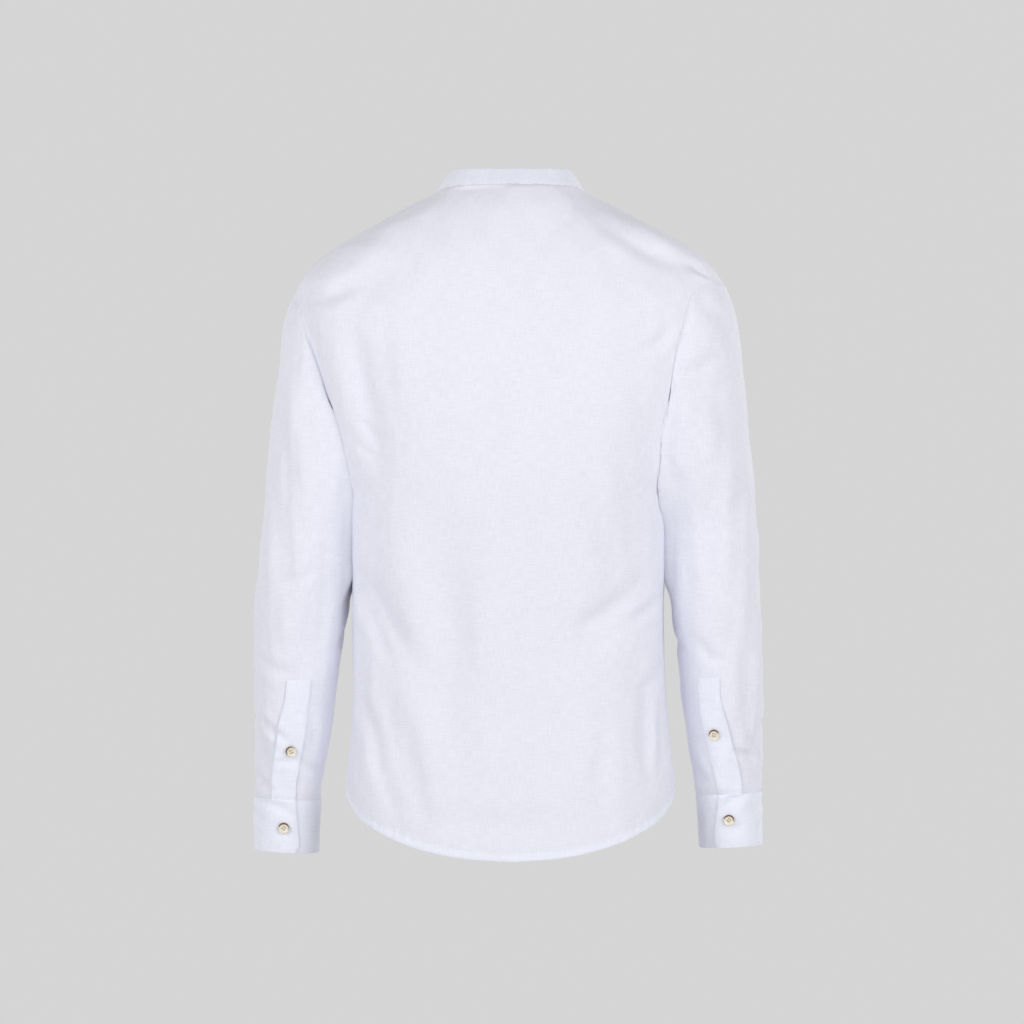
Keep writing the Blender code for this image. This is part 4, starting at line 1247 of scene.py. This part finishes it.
@dataclass
class Button:
    """A four-hole button with a raised rim, its thread and the ends of its buttonhole."""

    node: str
    on: str
    upright: bool = True
    turn: float = 0.0
    radius: float = 6.2
    thickness: float = 2.6
    rim: float = 1.35
    dish: float = 0.75
    hole_radius: float = 0.72
    hole_offset: float = 1.35
    hole_length: float = 15.0
    hole_stitches: int = 33
    lips: tuple[float, float] = (0.25, 1.5)
    seat_gap: float = 0.35
    reach: float = 15.0
    marble_side: float = 125.0
    marble_start: float = 0.55
    marble_ease: float = 0.3
    marble_even: float = 0.48
    marble_swing: float = 0.62
    strands: tuple[float, ...] = (-0.42, -0.14, 0.14, 0.42)
    strand_radius: float = 0.26
    strand_rise: float = 0.55
    strand_sink: float = 0.18
    steps: int = 40
    sharp: float = 38.0
    finish: Shell = Shell()
    thread: Thread = Thread()

    def seat(self, cloth: bpy.types.Object) -> Matrix:
        """Where the button sits on the finished cloth.

        Args:
            cloth: the finished piece under it.

        Returns:
            Its middle, with Z out of the cloth.
        """
        points = np.array([v.co for v in frame["nodes"][self.node].data.vertices])
        centre = (points.min(axis=0) + points.max(axis=0)) / 2.0
        _, _, axes = np.linalg.svd(points - points.mean(axis=0))
        out = Vector(axes[2])
        rest = frame["nodes"][self.on].data.vertices
        nearest = min((Vector(centre) - v.co for v in rest), key=lambda away: away.length)
        if out.dot(nearest) < 0.0:
            out = -out
        surface = BVHTree.FromObject(cloth, bpy.context.evaluated_depsgraph_get())
        hit = surface.ray_cast(Vector(centre) + out * self.reach * MM, -out)
        place = hit[0] + out * (self.thickness / 2.0 + self.seat_gap) * MM
        return Matrix.Translation(place) @ out.to_track_quat("Z", "Y").to_matrix().to_4x4()

    def blank(self) -> bmesh.types.BMesh:
        """The turned button before its holes.

        Returns:
            The button round the origin, its face towards Z.
        """
        r, t = self.radius * MM, self.thickness * MM
        rim, dish = self.rim * MM, self.dish * MM
        low, high = -t / 2.0, t / 2.0
        profile = [(0.0, low), (r * 0.7, low + 0.02 * MM), (r * 0.88, low + t * 0.12),
                   (r * 0.975, low + t * 0.34), (r, low + t * 0.56), (r * 0.985, high - t * 0.16),
                   (r * 0.95, high - t * 0.04), (r - rim * 0.5, high),
                   (r - rim * 0.85, high - t * 0.06), (r - rim * 1.25, high - dish * 0.7),
                   (r - rim * 1.7, high - dish), (0.0, high - dish * 1.05)]
        outline = bmesh.new()
        knots = [outline.verts.new((x, 0.0, z)) for x, z in profile]
        for a, b in zip(knots, knots[1:]):
            outline.edges.new((a, b))
        bmesh.ops.spin(outline, geom=outline.verts[:] + outline.edges[:], cent=(0, 0, 0),
                       axis=(0, 0, 1), angle=math.tau, steps=self.steps, use_merge=True)
        bmesh.ops.remove_doubles(outline, verts=outline.verts[:], dist=MERGE)
        bmesh.ops.recalc_face_normals(outline, faces=outline.faces[:])
        return outline

    def hole_places(self) -> list[Vector]:
        """Middles of the four thread holes."""
        away = self.hole_offset * MM
        return [Vector((x * away, y * away, 0.0)) for x, y in ((1, 1), (-1, 1), (-1, -1), (1, -1))]

    def build(self, cloth: bpy.types.Object, kit: ShaderKit) -> None:
        """Make the button and its thread on the cloth.

        Args:
            cloth: the finished piece that the button sits on.
            kit: where the materials come from.
        """
        outline = self.blank()
        marble = outline.verts.layers.float.new("marble")
        for vertex in outline.verts:
            out = vertex.co.xy.length / (self.radius * MM)
            side = math.cos(math.atan2(vertex.co.y, vertex.co.x)
                            - math.radians(self.marble_side))
            rimward = min(max((out - self.marble_start) / self.marble_ease, 0.0), 1.0)
            vertex[marble] = rimward * (self.marble_even + self.marble_swing * side)
        piece = add_mesh(f"{self.node}_shell", outline)
        drill = bmesh.new()
        for place in self.hole_places():
            bmesh.ops.create_cone(drill, cap_ends=True, segments=14, radius1=self.hole_radius * MM,
                                  radius2=self.hole_radius * MM, depth=3.0 * self.thickness * MM,
                                  matrix=Matrix.Translation(place))
        tool = add_mesh("drill", drill)
        cut = piece.modifiers.new("holes", "BOOLEAN")
        cut.object = tool
        cut.operation = "DIFFERENCE"
        apply_modifiers(piece)
        bpy.data.objects.remove(tool)
        seat = self.seat(cloth) @ Matrix.Rotation(math.radians(self.turn), 4, "Z")
        piece.data.transform(seat)
        dress(piece, self.node, kit.material(self.finish), self.sharp, stands_in=True)
        self.sew_on(seat, kit)

    def sew_on(self, seat: Matrix, kit: ShaderKit) -> None:
        """Lay the thread through the holes, in strands over each pair.

        Args:
            seat: the button's place.
            kit: where the materials come from.
        """
        strands = bmesh.new()
        floor = self.thickness / 2.0 - self.dish
        for side in (-1.0, 1.0):
            for offset in self.strands:
                ring = bmesh.new()
                start = Matrix.Translation((self.hole_offset * MM, 0.0, 0.0))
                bmesh.ops.create_circle(ring, segments=7, radius=self.strand_radius * MM,
                                        matrix=start @ Matrix.Rotation(math.pi / 2, 4, "X"))
                bmesh.ops.spin(ring, geom=ring.verts[:] + ring.edges[:], cent=(0, 0, 0),
                               axis=(0, 1, 0), angle=-math.pi, steps=9, use_merge=False)
                bmesh.ops.scale(ring, vec=(1.0, 1.0, self.strand_rise), verts=ring.verts[:])
                bmesh.ops.translate(ring, verts=ring.verts[:], vec=(
                    0.0, (side * self.hole_offset + offset) * MM, (floor - self.strand_sink) * MM))
                bmesh.ops.recalc_face_normals(ring, faces=ring.faces[:])
                strand = bpy.data.meshes.new("strand")
                ring.to_mesh(strand)
                ring.free()
                strands.from_mesh(strand)
                bpy.data.meshes.remove(strand)
        bmesh.ops.transform(strands, matrix=seat, verts=strands.verts[:])
        bmesh.ops.recalc_face_normals(strands, faces=strands.faces[:])
        dress(add_mesh(f"{self.node}_thread", strands), self.node, kit.material(self.thread))

    def buttonhole(self, cloth: bpy.types.Object) -> list[tuple[np.ndarray, np.ndarray]]:
        """Lines across the lips of the buttonhole, whose ends show past the button.

        Args:
            cloth: the finished piece under the button.

        Returns:
            Points and facings of each line.
        """
        seat = self.seat(cloth)
        out = seat.to_3x3().col[2]
        rise = Vector((0.0, 0.0, 1.0))
        along = (rise - out * rise.dot(out)).normalized()
        if not self.upright:
            along = out.cross(along)
        aside = out.cross(along)
        foot = seat.translation - out * (self.thickness / 2.0 + self.seat_gap) * MM
        lines = []
        half = self.hole_length / 2.0
        for step in np.linspace(-half, half, self.hole_stitches):
            for side in (-1.0, 1.0):
                ends = [foot + along * step * MM + aside * side * lip * MM for lip in self.lips]
                lines.append((np.array(ends), np.array([out, out])))
        return lines


@dataclass
class Trunk:
    """The back and the two fronts, joined by felled seams and hemmed below."""

    hem: float = 8.0
    fell: float = 6.4
    band: float = 30.0
    band_stitch: float = 28.6
    waves: tuple[Undulation, ...] = (
        Undulation(seed=3, across=120.0, down=420.0, height=1.1),
        Undulation(seed=11, across=46.0, down=150.0, height=0.45),
        Undulation(seed=29, across=19.0, down=34.0, height=0.13, waves=24))
    back_folds: tuple[Fold, ...] = folds(
        Facing.BACK,
        (((168, -40), (129, -29), (92, -16)), 2.8, 6.0, 0.2),
        (((-98, -38), (-156, -72), (-205, -91)), 3.7, 9.0, -0.2),
        (((-196, -84), (-220, -96), (-240, -106)), 3.7, 4.5, 0.0, 0.3, 0.5),
        (((240, -118), (203, -122), (158, -103)), 4.4, 8.5, 0.2),
        (((182, -150), (171, -190), (156, -262), (144, -325)), 4.8, 11.0, 0.3),
        (((170, -256), (158, -268), (147, -283)), 1.9, 4.0),
        (((172, -284), (162, -292), (150, -300)), 1.6, 3.6),
        (((170, -428), (156, -447), (122, -496), (106, -528)), 2.3, 9.0, 0.3, 0.6),
        (((168, -452), (150, -488), (132, -528)), 2.5, 6.0, 0.2, 0.5),
        (((168, -490), (166, -569), (152, -598), (144, -644), (131, -684)), 4.0, 7.0, -0.3),
        (((-140, -438), (-119, -460), (-91, -479), (-72, -494)), 1.9, 8.0, -0.3, 0.6),
        (((-168, -452), (-150, -470), (-128, -484)), 2.5, 5.5, 0.0, 0.5),
        (((-168, -532), (-149, -554), (-147, -616), (-151, -660)), 4.0, 6.5, 0.3, 0.5),
        (((-166, -574), (-168, -616), (-163, -660)), 2.8, 5.5),
        (((-156, -268), (-164, -340), (-171, -413)), 3.1, 10.0),
        (((92, -330), (84, -440), (70, -560), (66, -640)), 3.4, 22.0),
        (((-30, -380), (-44, -520), (-52, -640)), 2.5, 24.0),
        (((30, -150), (22, -260), (34, -370)), 1.6, 20.0),
        (((-96, -190), (-84, -290), (-92, -370)), 1.9, 18.0),
        (((-180, -150), (-160, -176), (-132, -190)), 2.5, 6.5),
        (((112, -600), (104, -660), (92, -705)), 2.8, 9.0),
        (((-104, -590), (-98, -650), (-104, -700)), 2.5, 10.0),
        (((-205, -92), (-222, -98), (-240, -108)), 2.2, 2.8, 0.0, 0.4, 0.6),
        (((-200, -80), (-206, -86), (-213, -90)), 0.9, 2.2),
        (((-208, -80), (-214, -87), (-220, -93)), 0.9, 2.2),
        (((-216, -84), (-222, -90), (-228, -97)), 0.8, 2.2),
        (((236, -108), (226, -114), (214, -117)), 1.0, 2.6),
        (((232, -100), (222, -105), (210, -107)), 0.9, 2.4),
        (((-92, -694), (0, -706), (92, -696)), 2.2, 13.0),
        (((150, -250), (158, -262), (166, -270)), 0.9, 2.6),
        (((146, -268), (156, -278), (166, -286)), 0.9, 2.6),
        (((142, -286), (152, -298), (163, -306)), 0.8, 2.6))
    front_folds: tuple[Fold, ...] = folds(
        Facing.FRONT,
        (((168, -398), (140, -436), (112, -480), (92, -520)), 4.3, 7.5, 0.3, 0.6),
        (((-168, -400), (-142, -434), (-110, -474), (-88, -510)), 4.3, 7.5, -0.3, 0.6),
        (((170, -430), (150, -478), (136, -540)), 3.1, 7.0, 0.0, 0.5),
        (((-168, -436), (-152, -490), (-142, -560)), 3.1, 7.0, 0.0, 0.5),
        (((166, -186), (140, -150), (104, -122), (74, -104)), 2.9, 7.0, 0.2, 0.5),
        (((-160, -194), (-132, -152), (-98, -126), (-70, -108)), 2.9, 7.0, 0.2, 0.5),
        (((128, -320), (136, -420), (126, -540)), 2.8, 10.0),
        (((-122, -330), (-134, -450), (-128, -570)), 2.8, 10.0),
        (((60, -300), (66, -440), (58, -580)), 1.9, 18.0),
        (((-58, -320), (-64, -470), (-56, -600)), 1.9, 18.0),
        (((78, -560), (96, -620), (118, -692)), 2.6, 8.0),
        (((-84, -548), (-100, -620), (-118, -694)), 2.6, 8.0),
        (((36, -190), (50, -206), (70, -214)), 1.7, 6.0),
        (((-34, -268), (-52, -280), (-74, -284)), 1.7, 6.0),
        (((34, -470), (52, -486), (74, -490)), 1.7, 6.0))

    def build(self, kit: ShaderKit) -> list[bpy.types.Object]:
        """Build the back and the fronts.

        Args:
            kit: where the materials come from.

        Returns:
            The three pieces, right front first.
        """
        side = EdgeFinish(band=self.fell, rise=0.2, whiter=False, roll=0.55, pucker=0.2,
                          run_on=3.0, sink=1.3, stitches=(1.5, self.fell), still=5.0)
        plain_side = EdgeFinish(roll=0.3, pucker=0.18, run_on=2.8, sink=1.2, still=5.0)
        hem = EdgeFinish(band=self.hem, rise=0.45, pucker=0.28, stitches=(self.hem - 1.0,))
        free = EdgeFinish(band=self.band, rise=0.35, roll_width=0.8, pucker=0.12,
                          stitches=(self.band_stitch,))
        under = EdgeFinish(band=self.band, rise=0.35, stitches=(self.band_stitch,))
        back_top = EdgeFinish(roll=0.45, pucker=0.15, run_on=1.5, sink=0.55, still=7.0)
        left_top = EdgeFinish(roll=0.45, pucker=0.15, stitches=(1.5, self.fell),
                              spans=((0.0, 7.0),), run_on=1.5, sink=0.55, tucked=((7.0, 15.0),),
                              still=7.0)
        right_top = EdgeFinish(roll=0.45, pucker=0.15, stitches=(1.5, self.fell),
                               spans=((8.0, 15.0),), run_on=1.5, sink=0.55, tucked=((0.0, 8.0),),
                               still=7.0)
        back = PanelPiece(
            "back", {Edge.TOP: back_top, Edge.BOTTOM: hem, Edge.START: side, Edge.END: side},
            (0.60, 0.80), 0.332, self.back_folds, self.waves, neck_corners=(7.0, 19.0))
        left = PanelPiece(
            "front_left", {Edge.TOP: left_top, Edge.BOTTOM: hem, Edge.START: plain_side,
                           Edge.END: free},
            (0.33, 0.76), 0.167, self.front_folds, self.waves, neck_corners=(7.0,))
        right = PanelPiece(
            "front_right", {Edge.TOP: right_top, Edge.BOTTOM: hem, Edge.START: under,
                            Edge.END: plain_side},
            (0.33, 0.76), 0.164, self.front_folds, self.waves, neck_corners=(8.0,))
        return [finish_piece(piece, kit) for piece in (right, left, back)]


@dataclass
class Collar:
    """The band collar, of two layers stitched round its edge."""

    edge_stitch: float = 1.8
    seam_stitches: tuple[float, ...] = (1.6, 4.2)
    wall: float = 1.8

    def build(self, kit: ShaderKit) -> list[bpy.types.Object]:
        """Build the band.

        Args:
            kit: where the materials come from.

        Returns:
            The band alone.
        """
        edge = EdgeFinish(roll=0.9, roll_width=1.1, pucker=0.12, stitches=(self.edge_stitch,))
        seam = EdgeFinish(roll=0.35, roll_width=0.6, pucker=0.12, stitches=self.seam_stitches)
        band = BandPiece("collar", {Edge.TOP: edge, Edge.BOTTOM: seam, Edge.START: edge,
                                     Edge.END: edge}, (0.44, 0.032), 0.012,
                          waves=(Undulation(seed=41, across=38.0, down=60.0, height=0.18),),
                          layers=1.0, wall=self.wall, row_step=2.0)
        return [finish_piece(band, kit)]


@dataclass
class Sleeve:
    """A long sleeve, its placket and its cuff."""

    side: str
    folds: tuple[Fold, ...]
    cuff_folds: tuple[Fold, ...]
    seed: int
    cut_area: float
    tuck: float = 3.5
    sink: float = 1.7
    box: float = 26.0

    def build(self, kit: ShaderKit) -> list[bpy.types.Object]:
        """Build the sleeve, the placket and the cuff.

        Args:
            kit: where the materials come from.

        Returns:
            The three pieces.
        """
        head = EdgeFinish(roll=0.35, pucker=0.2, run_on=4.8, sink=0.3, still=5.0)
        end = EdgeFinish(roll=0.0, pucker=0.25, run_on=self.tuck, sink=self.sink, still=9.0)
        lip = EdgeFinish(roll=0.0)
        waves = (Undulation(self.seed, across=90.0, down=260.0, height=1.0),
                 Undulation(self.seed + 1, across=34.0, down=90.0, height=0.5),
                 Undulation(self.seed + 2, across=17.0, down=28.0, height=0.15, waves=24))
        sleeve = TubePiece(f"sleeve_{self.side}", {Edge.TOP: head, Edge.BOTTOM: end,
                                                    Edge.START: lip, Edge.END: lip},
                            (0.44, 0.60), self.cut_area, self.folds, waves, tube=True)
        strip_edge = EdgeFinish(roll=0.4, roll_width=0.6, pucker=0.08, stitches=(1.8,))
        strip_top = EdgeFinish(roll=0.4, roll_width=0.6, pucker=0.08, stitches=(1.8, self.box))
        strip_end = EdgeFinish(roll=0.0, pucker=0.25, run_on=self.tuck, sink=self.sink + 0.5,
                               still=9.0)
        strip = StripPiece(f"sleeve_placket_{self.side}",
                           {Edge.TOP: strip_top, Edge.BOTTOM: strip_end, Edge.START: strip_edge,
                            Edge.END: strip_edge}, (0.034, 0.14), 0.0037, self.folds, waves,
                           layers=1.0, wall=1.1, proud=0.55, column_step=2.0, row_step=2.4,
                           wide_edge=Edge.START if self.side == "right" else Edge.END)
        edge = EdgeFinish(roll=0.45, roll_width=0.6, pucker=0.14, stitches=(1.9,))
        seam = EdgeFinish(roll=0.5, roll_width=0.8, pucker=0.2, stitches=(1.9,), still=4.0)
        cuff = ClothPiece(f"cuff_{self.side}", {Edge.TOP: seam, Edge.BOTTOM: edge,
                                                Edge.START: edge, Edge.END: edge},
                          (0.27, 0.066), 0.016, self.cuff_folds,
                          (Undulation(self.seed + 3, across=40.0, down=60.0, height=0.3),
                           Undulation(self.seed + 4, across=15.0, down=26.0, height=0.1,
                                      waves=20)),
                          layers=1.0, wall=1.7)
        return [finish_piece(piece, kit) for piece in (sleeve, strip, cuff)]


def finish_piece(piece: ClothPiece, kit: ShaderKit) -> bpy.types.Object:
    """Args:
        piece: what is built.
        kit: where the materials come from.

    Returns:
        The finished cloth.
    """
    cloth = piece.build(kit)
    lines = [line for line in piece.stitch_lines if len(line[0]) > 1]
    sewn = [Stitching(f"{piece.node}_stitches", piece.node).build(lines, kit)] if lines else []
    return cloth


@dataclass
class Studio:
    """Plain soft light, a pale floor and the camera."""

    grey: float = 0.665
    round_light: float = 0.64
    sky_light: float = 0.34
    floor_height: float = -1.1
    floor_radius: float = 1.4
    camera_place: tuple[float, float, float] = (-0.0011, 5.0, -0.3595)
    focal_length: float = 157.0
    sensor_width: float = 36.0
    light_top: float = 0.9
    lamp_size: float = 2.0
    lamp_aim: tuple[float, float, float] = (0.0, 0.0, -0.36)
    lamps: tuple[tuple[str, tuple[float, float, float], float], ...] = (
        ("left", (2.25, 2.55, 0.4), 42.5), ("right", (-2.25, 2.55, 0.35), 44.5),
        ("left_front", (1.9, -2.8, 0.5), 27.0), ("right_front", (-1.9, -2.8, 0.35), 35.0))
    floor_grey: float = 0.68
    floor_roughness: float = 0.9

    def build(self) -> None:
        """Set up the world, the lamps, the floor and the camera."""
        scene = bpy.context.scene
        scene.view_settings.view_transform = "Standard"
        world = bpy.data.worlds.new("studio")
        world.use_nodes = True
        self.light_world(world.node_tree)
        scene.world = world
        for lamp in self.lamps:
            self.lamp(*lamp)
        self.floor()
        camera = bpy.data.cameras.new("camera")
        camera.lens = self.focal_length
        camera.sensor_width = self.sensor_width
        holder = bpy.data.objects.new("camera", camera)
        holder.location = self.camera_place
        holder.rotation_euler = (math.radians(90.0), 0.0, math.radians(180.0))
        scene.collection.objects.link(holder)
        scene.camera = holder

    def light_world(self, tree: bpy.types.NodeTree) -> None:
        """Light the shirt from all round, less from above, before a plain grey backdrop.

        Args:
            tree: the world's nodes.
        """
        light = tree.nodes["Background"]
        place = add_node(tree, "TexCoord")
        split = add_node(tree, "SeparateXYZ", {0: place.outputs["Generated"]})
        level = add_node(tree, "MapRange", {
            "From Min": 0.0, "From Max": self.light_top, "To Min": self.round_light,
            "To Max": self.sky_light, "Value": split.outputs["Z"]})
        tree.links.new(level.outputs["Result"], light.inputs["Color"])
        backdrop = add_node(tree, "Background", {"Color": (self.grey, self.grey, self.grey, 1.0)})
        seen = add_node(tree, "LightPath")
        choice = add_node(tree, "MixShader", {
            "Fac": seen.outputs["Is Camera Ray"], 1: light.outputs["Background"],
            2: backdrop.outputs["Background"]})
        tree.links.new(choice.outputs["Shader"], tree.nodes["World Output"].inputs["Surface"])

    def lamp(self, name: str, place: tuple[float, float, float], power: float) -> None:
        """Add a soft square lamp turned to the shirt's middle.

        Args:
            name: the lamp's name.
            place: where it stands, in metres.
            power: its strength in watts.
        """
        light = bpy.data.lights.new(name, "AREA")
        light.size = self.lamp_size
        light.energy = power
        holder = bpy.data.objects.new(name, light)
        holder.location = place
        towards = Vector(self.lamp_aim) - Vector(place)
        holder.rotation_euler = towards.to_track_quat("-Z", "Y").to_euler()
        bpy.context.scene.collection.objects.link(holder)

    def floor(self) -> None:
        """Add the pale round floor."""
        disc = bmesh.new()
        bmesh.ops.create_circle(disc, cap_ends=True, segments=96, radius=self.floor_radius,
                                matrix=Matrix.Translation((0.0, 0.0, self.floor_height)))
        floor = add_mesh("floor", disc)
        paint, _, _ = start_material("floor", {
            "Base Color": (self.floor_grey, self.floor_grey, self.floor_grey, 1.0),
            "Roughness": self.floor_roughness})
        floor.data.materials.append(paint)


LEFT_SLEEVE_FOLDS = (
    *folds(Facing.BACK,
           (((272, -200), (262, -250), (250, -320)), 2.5, 9.0),
           (((264, -312), (258, -390), (252, -460)), 2.5, 9.0),
           (((280, -250), (268, -262), (252, -266)), 3.1, 5.5, 0.0, 0.5),
           (((216, -420), (232, -436), (250, -440)), 2.3, 6.0),
           (((282, -520), (262, -536), (240, -540)), 2.2, 6.5),
           (((276, -594), (262, -606), (248, -618)), 3.1, 4.5, 0.2, 0.5),
           (((286, -652), (276, -664), (266, -674)), 3.1, 4.2, 0.0, 0.6),
           (((266, -640), (252, -638), (238, -639)), 1.7, 3.6),
           (((236, -638), (224, -646), (210, -652)), 2.6, 4.6, 0.0, 0.4),
           (((228, -560), (222, -600), (218, -640)), 2.2, 6.0)),
    *folds(Facing.LEFT,
           (((-40, -240), (-20, -300), (-6, -360)), 3.1, 9.0),
           (((10, -400), (-10, -470), (-14, -540)), 3.1, 9.0),
           (((-44, -560), (-22, -586), (2, -598)), 2.8, 6.0),
           (((-46, -630), (-30, -650), (-12, -668)), 2.8, 5.0)),
    *folds(Facing.FRONT,
           (((262, -220), (246, -290), (240, -360)), 3.1, 9.0),
           (((216, -300), (236, -330), (258, -344)), 2.9, 7.0),
           (((270, -420), (250, -452), (226, -466)), 2.9, 7.0),
           (((236, -500), (244, -570), (240, -630)), 2.6, 8.0),
           (((270, -610), (258, -636), (252, -668)), 2.8, 5.5),
           (((216, -620), (226, -646), (230, -670)), 2.5, 5.0)),
    *folds(Facing.RIGHT,
           (((-30, -470), (-6, -500), (24, -512)), 2.5, 6.5)))
LEFT_CUFF_FOLDS = (
    *folds(Facing.BACK,
           (((278, -684), (254, -692), (240, -704)), 2.4, 6.0, 0.2, 0.5),
           (((262, -712), (252, -718), (240, -720)), 1.2, 5.0)),
    *folds(Facing.FRONT,
           (((270, -690), (254, -702), (240, -708)), 1.6, 4.6)),
    *folds(Facing.LEFT,
           (((-30, -690), (-8, -700), (14, -702)), 1.6, 5.0)))
RIGHT_SLEEVE_FOLDS = (
    *folds(Facing.BACK,
           (((-190, -206), (-214, -198), (-240, -184)), 3.4, 6.5, 0.0, 0.5),
           (((-214, -130), (-236, -150), (-256, -190)), 2.8, 7.5, 0.0, 0.5),
           (((-262, -300), (-258, -340), (-240, -372)), 2.5, 8.0),
           (((-216, -330), (-222, -410), (-228, -480)), 2.2, 9.0),
           (((-272, -410), (-268, -520), (-262, -610)), 2.8, 9.0),
           (((-206, -500), (-220, -520), (-240, -528)), 2.3, 6.0),
           (((-196, -634), (-206, -648), (-220, -664)), 2.9, 5.0, 0.0, 0.5),
           (((-250, -628), (-260, -630), (-274, -638)), 2.9, 4.4, 0.0, 0.6),
           (((-262, -580), (-268, -606), (-270, -640)), 2.2, 5.5)),
    *folds(Facing.RIGHT,
           (((-40, -250), (-16, -310), (0, -370)), 3.1, 9.0),
           (((14, -420), (-8, -490), (-12, -560)), 3.1, 9.0),
           (((-44, -570), (-20, -592), (4, -604)), 2.8, 6.0),
           (((-44, -620), (-28, -644), (-10, -662)), 2.8, 5.0)),
    *folds(Facing.FRONT,
           (((-256, -210), (-242, -290), (-236, -350)), 3.1, 9.0),
           (((-210, -310), (-230, -336), (-254, -350)), 2.9, 7.0),
           (((-264, -430), (-246, -460), (-222, -476)), 2.9, 7.0),
           (((-232, -500), (-240, -570), (-238, -630)), 2.6, 8.0),
           (((-266, -606), (-256, -632), (-250, -660)), 2.8, 5.5),
           (((-214, -616), (-224, -640), (-228, -662)), 2.5, 5.0)),
    *folds(Facing.LEFT,
           (((-28, -480), (-4, -506), (26, -516)), 2.5, 6.5)))
RIGHT_CUFF_FOLDS = (
    *folds(Facing.BACK,
           (((-258, -672), (-240, -688), (-232, -700)), 2.4, 6.0, -0.2, 0.5),
           (((-262, -706), (-250, -714), (-236, -716)), 1.2, 5.0)),
    *folds(Facing.FRONT,
           (((-262, -676), (-248, -690), (-236, -697)), 1.6, 4.6)),
    *folds(Facing.RIGHT,
           (((-30, -678), (-8, -690), (14, -694)), 1.6, 5.0)))
FRONT_BUTTONS = 7
FRONT_TURN = 40.0


def buttons() -> list[Button]:
    """The shirt's buttons, each with what it sits on.

    Returns:
        The front's, the collar's and the sleeves' buttons.
    """
    rows = [Button(f"button_front_{k + 1}", "front_left", turn=FRONT_TURN * k)
            for k in range(FRONT_BUTTONS)]
    rows.append(Button("button_collar", "collar", upright=False, turn=25.0))
    for side, strip_turn, cuff_turn in (("left", 20.0, -35.0), ("right", -15.0, -40.0)):
        rows.append(Button(f"button_placket_{side}", f"sleeve_placket_{side}", turn=strip_turn))
        rows.append(Button(f"button_cuff_{side}", f"cuff_{side}", upright=False, turn=cuff_turn))
    return rows


def main() -> None:
    """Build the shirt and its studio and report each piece."""
    logging.basicConfig(level=logging.INFO, format="%(message)s")
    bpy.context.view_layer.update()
    kit = ShaderKit()
    Studio().build()
    cloths = Trunk().build(kit) + Collar().build(kit)
    cloths += Sleeve("left", LEFT_SLEEVE_FOLDS, LEFT_CUFF_FOLDS, seed=51,
                     cut_area=0.153).build(kit)
    cloths += Sleeve("right", RIGHT_SLEEVE_FOLDS, RIGHT_CUFF_FOLDS, seed=71,
                     cut_area=0.162).build(kit)
    by_slot = {cloth["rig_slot"]: cloth for cloth in cloths}
    for button in buttons():
        cloth = by_slot[button.on]
        button.build(cloth, kit)
        Stitching(f"{button.node}_hole", button.on, pitch=1.2, length=1.1,
                  thickness=0.34).build(button.buttonhole(cloth), kit)
    for piece in bpy.context.scene.objects:
        if "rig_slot" in piece:
            log.info("%s: %d faces", piece.name, len(piece.data.polygons))


if __name__ == "__main__":
    main()
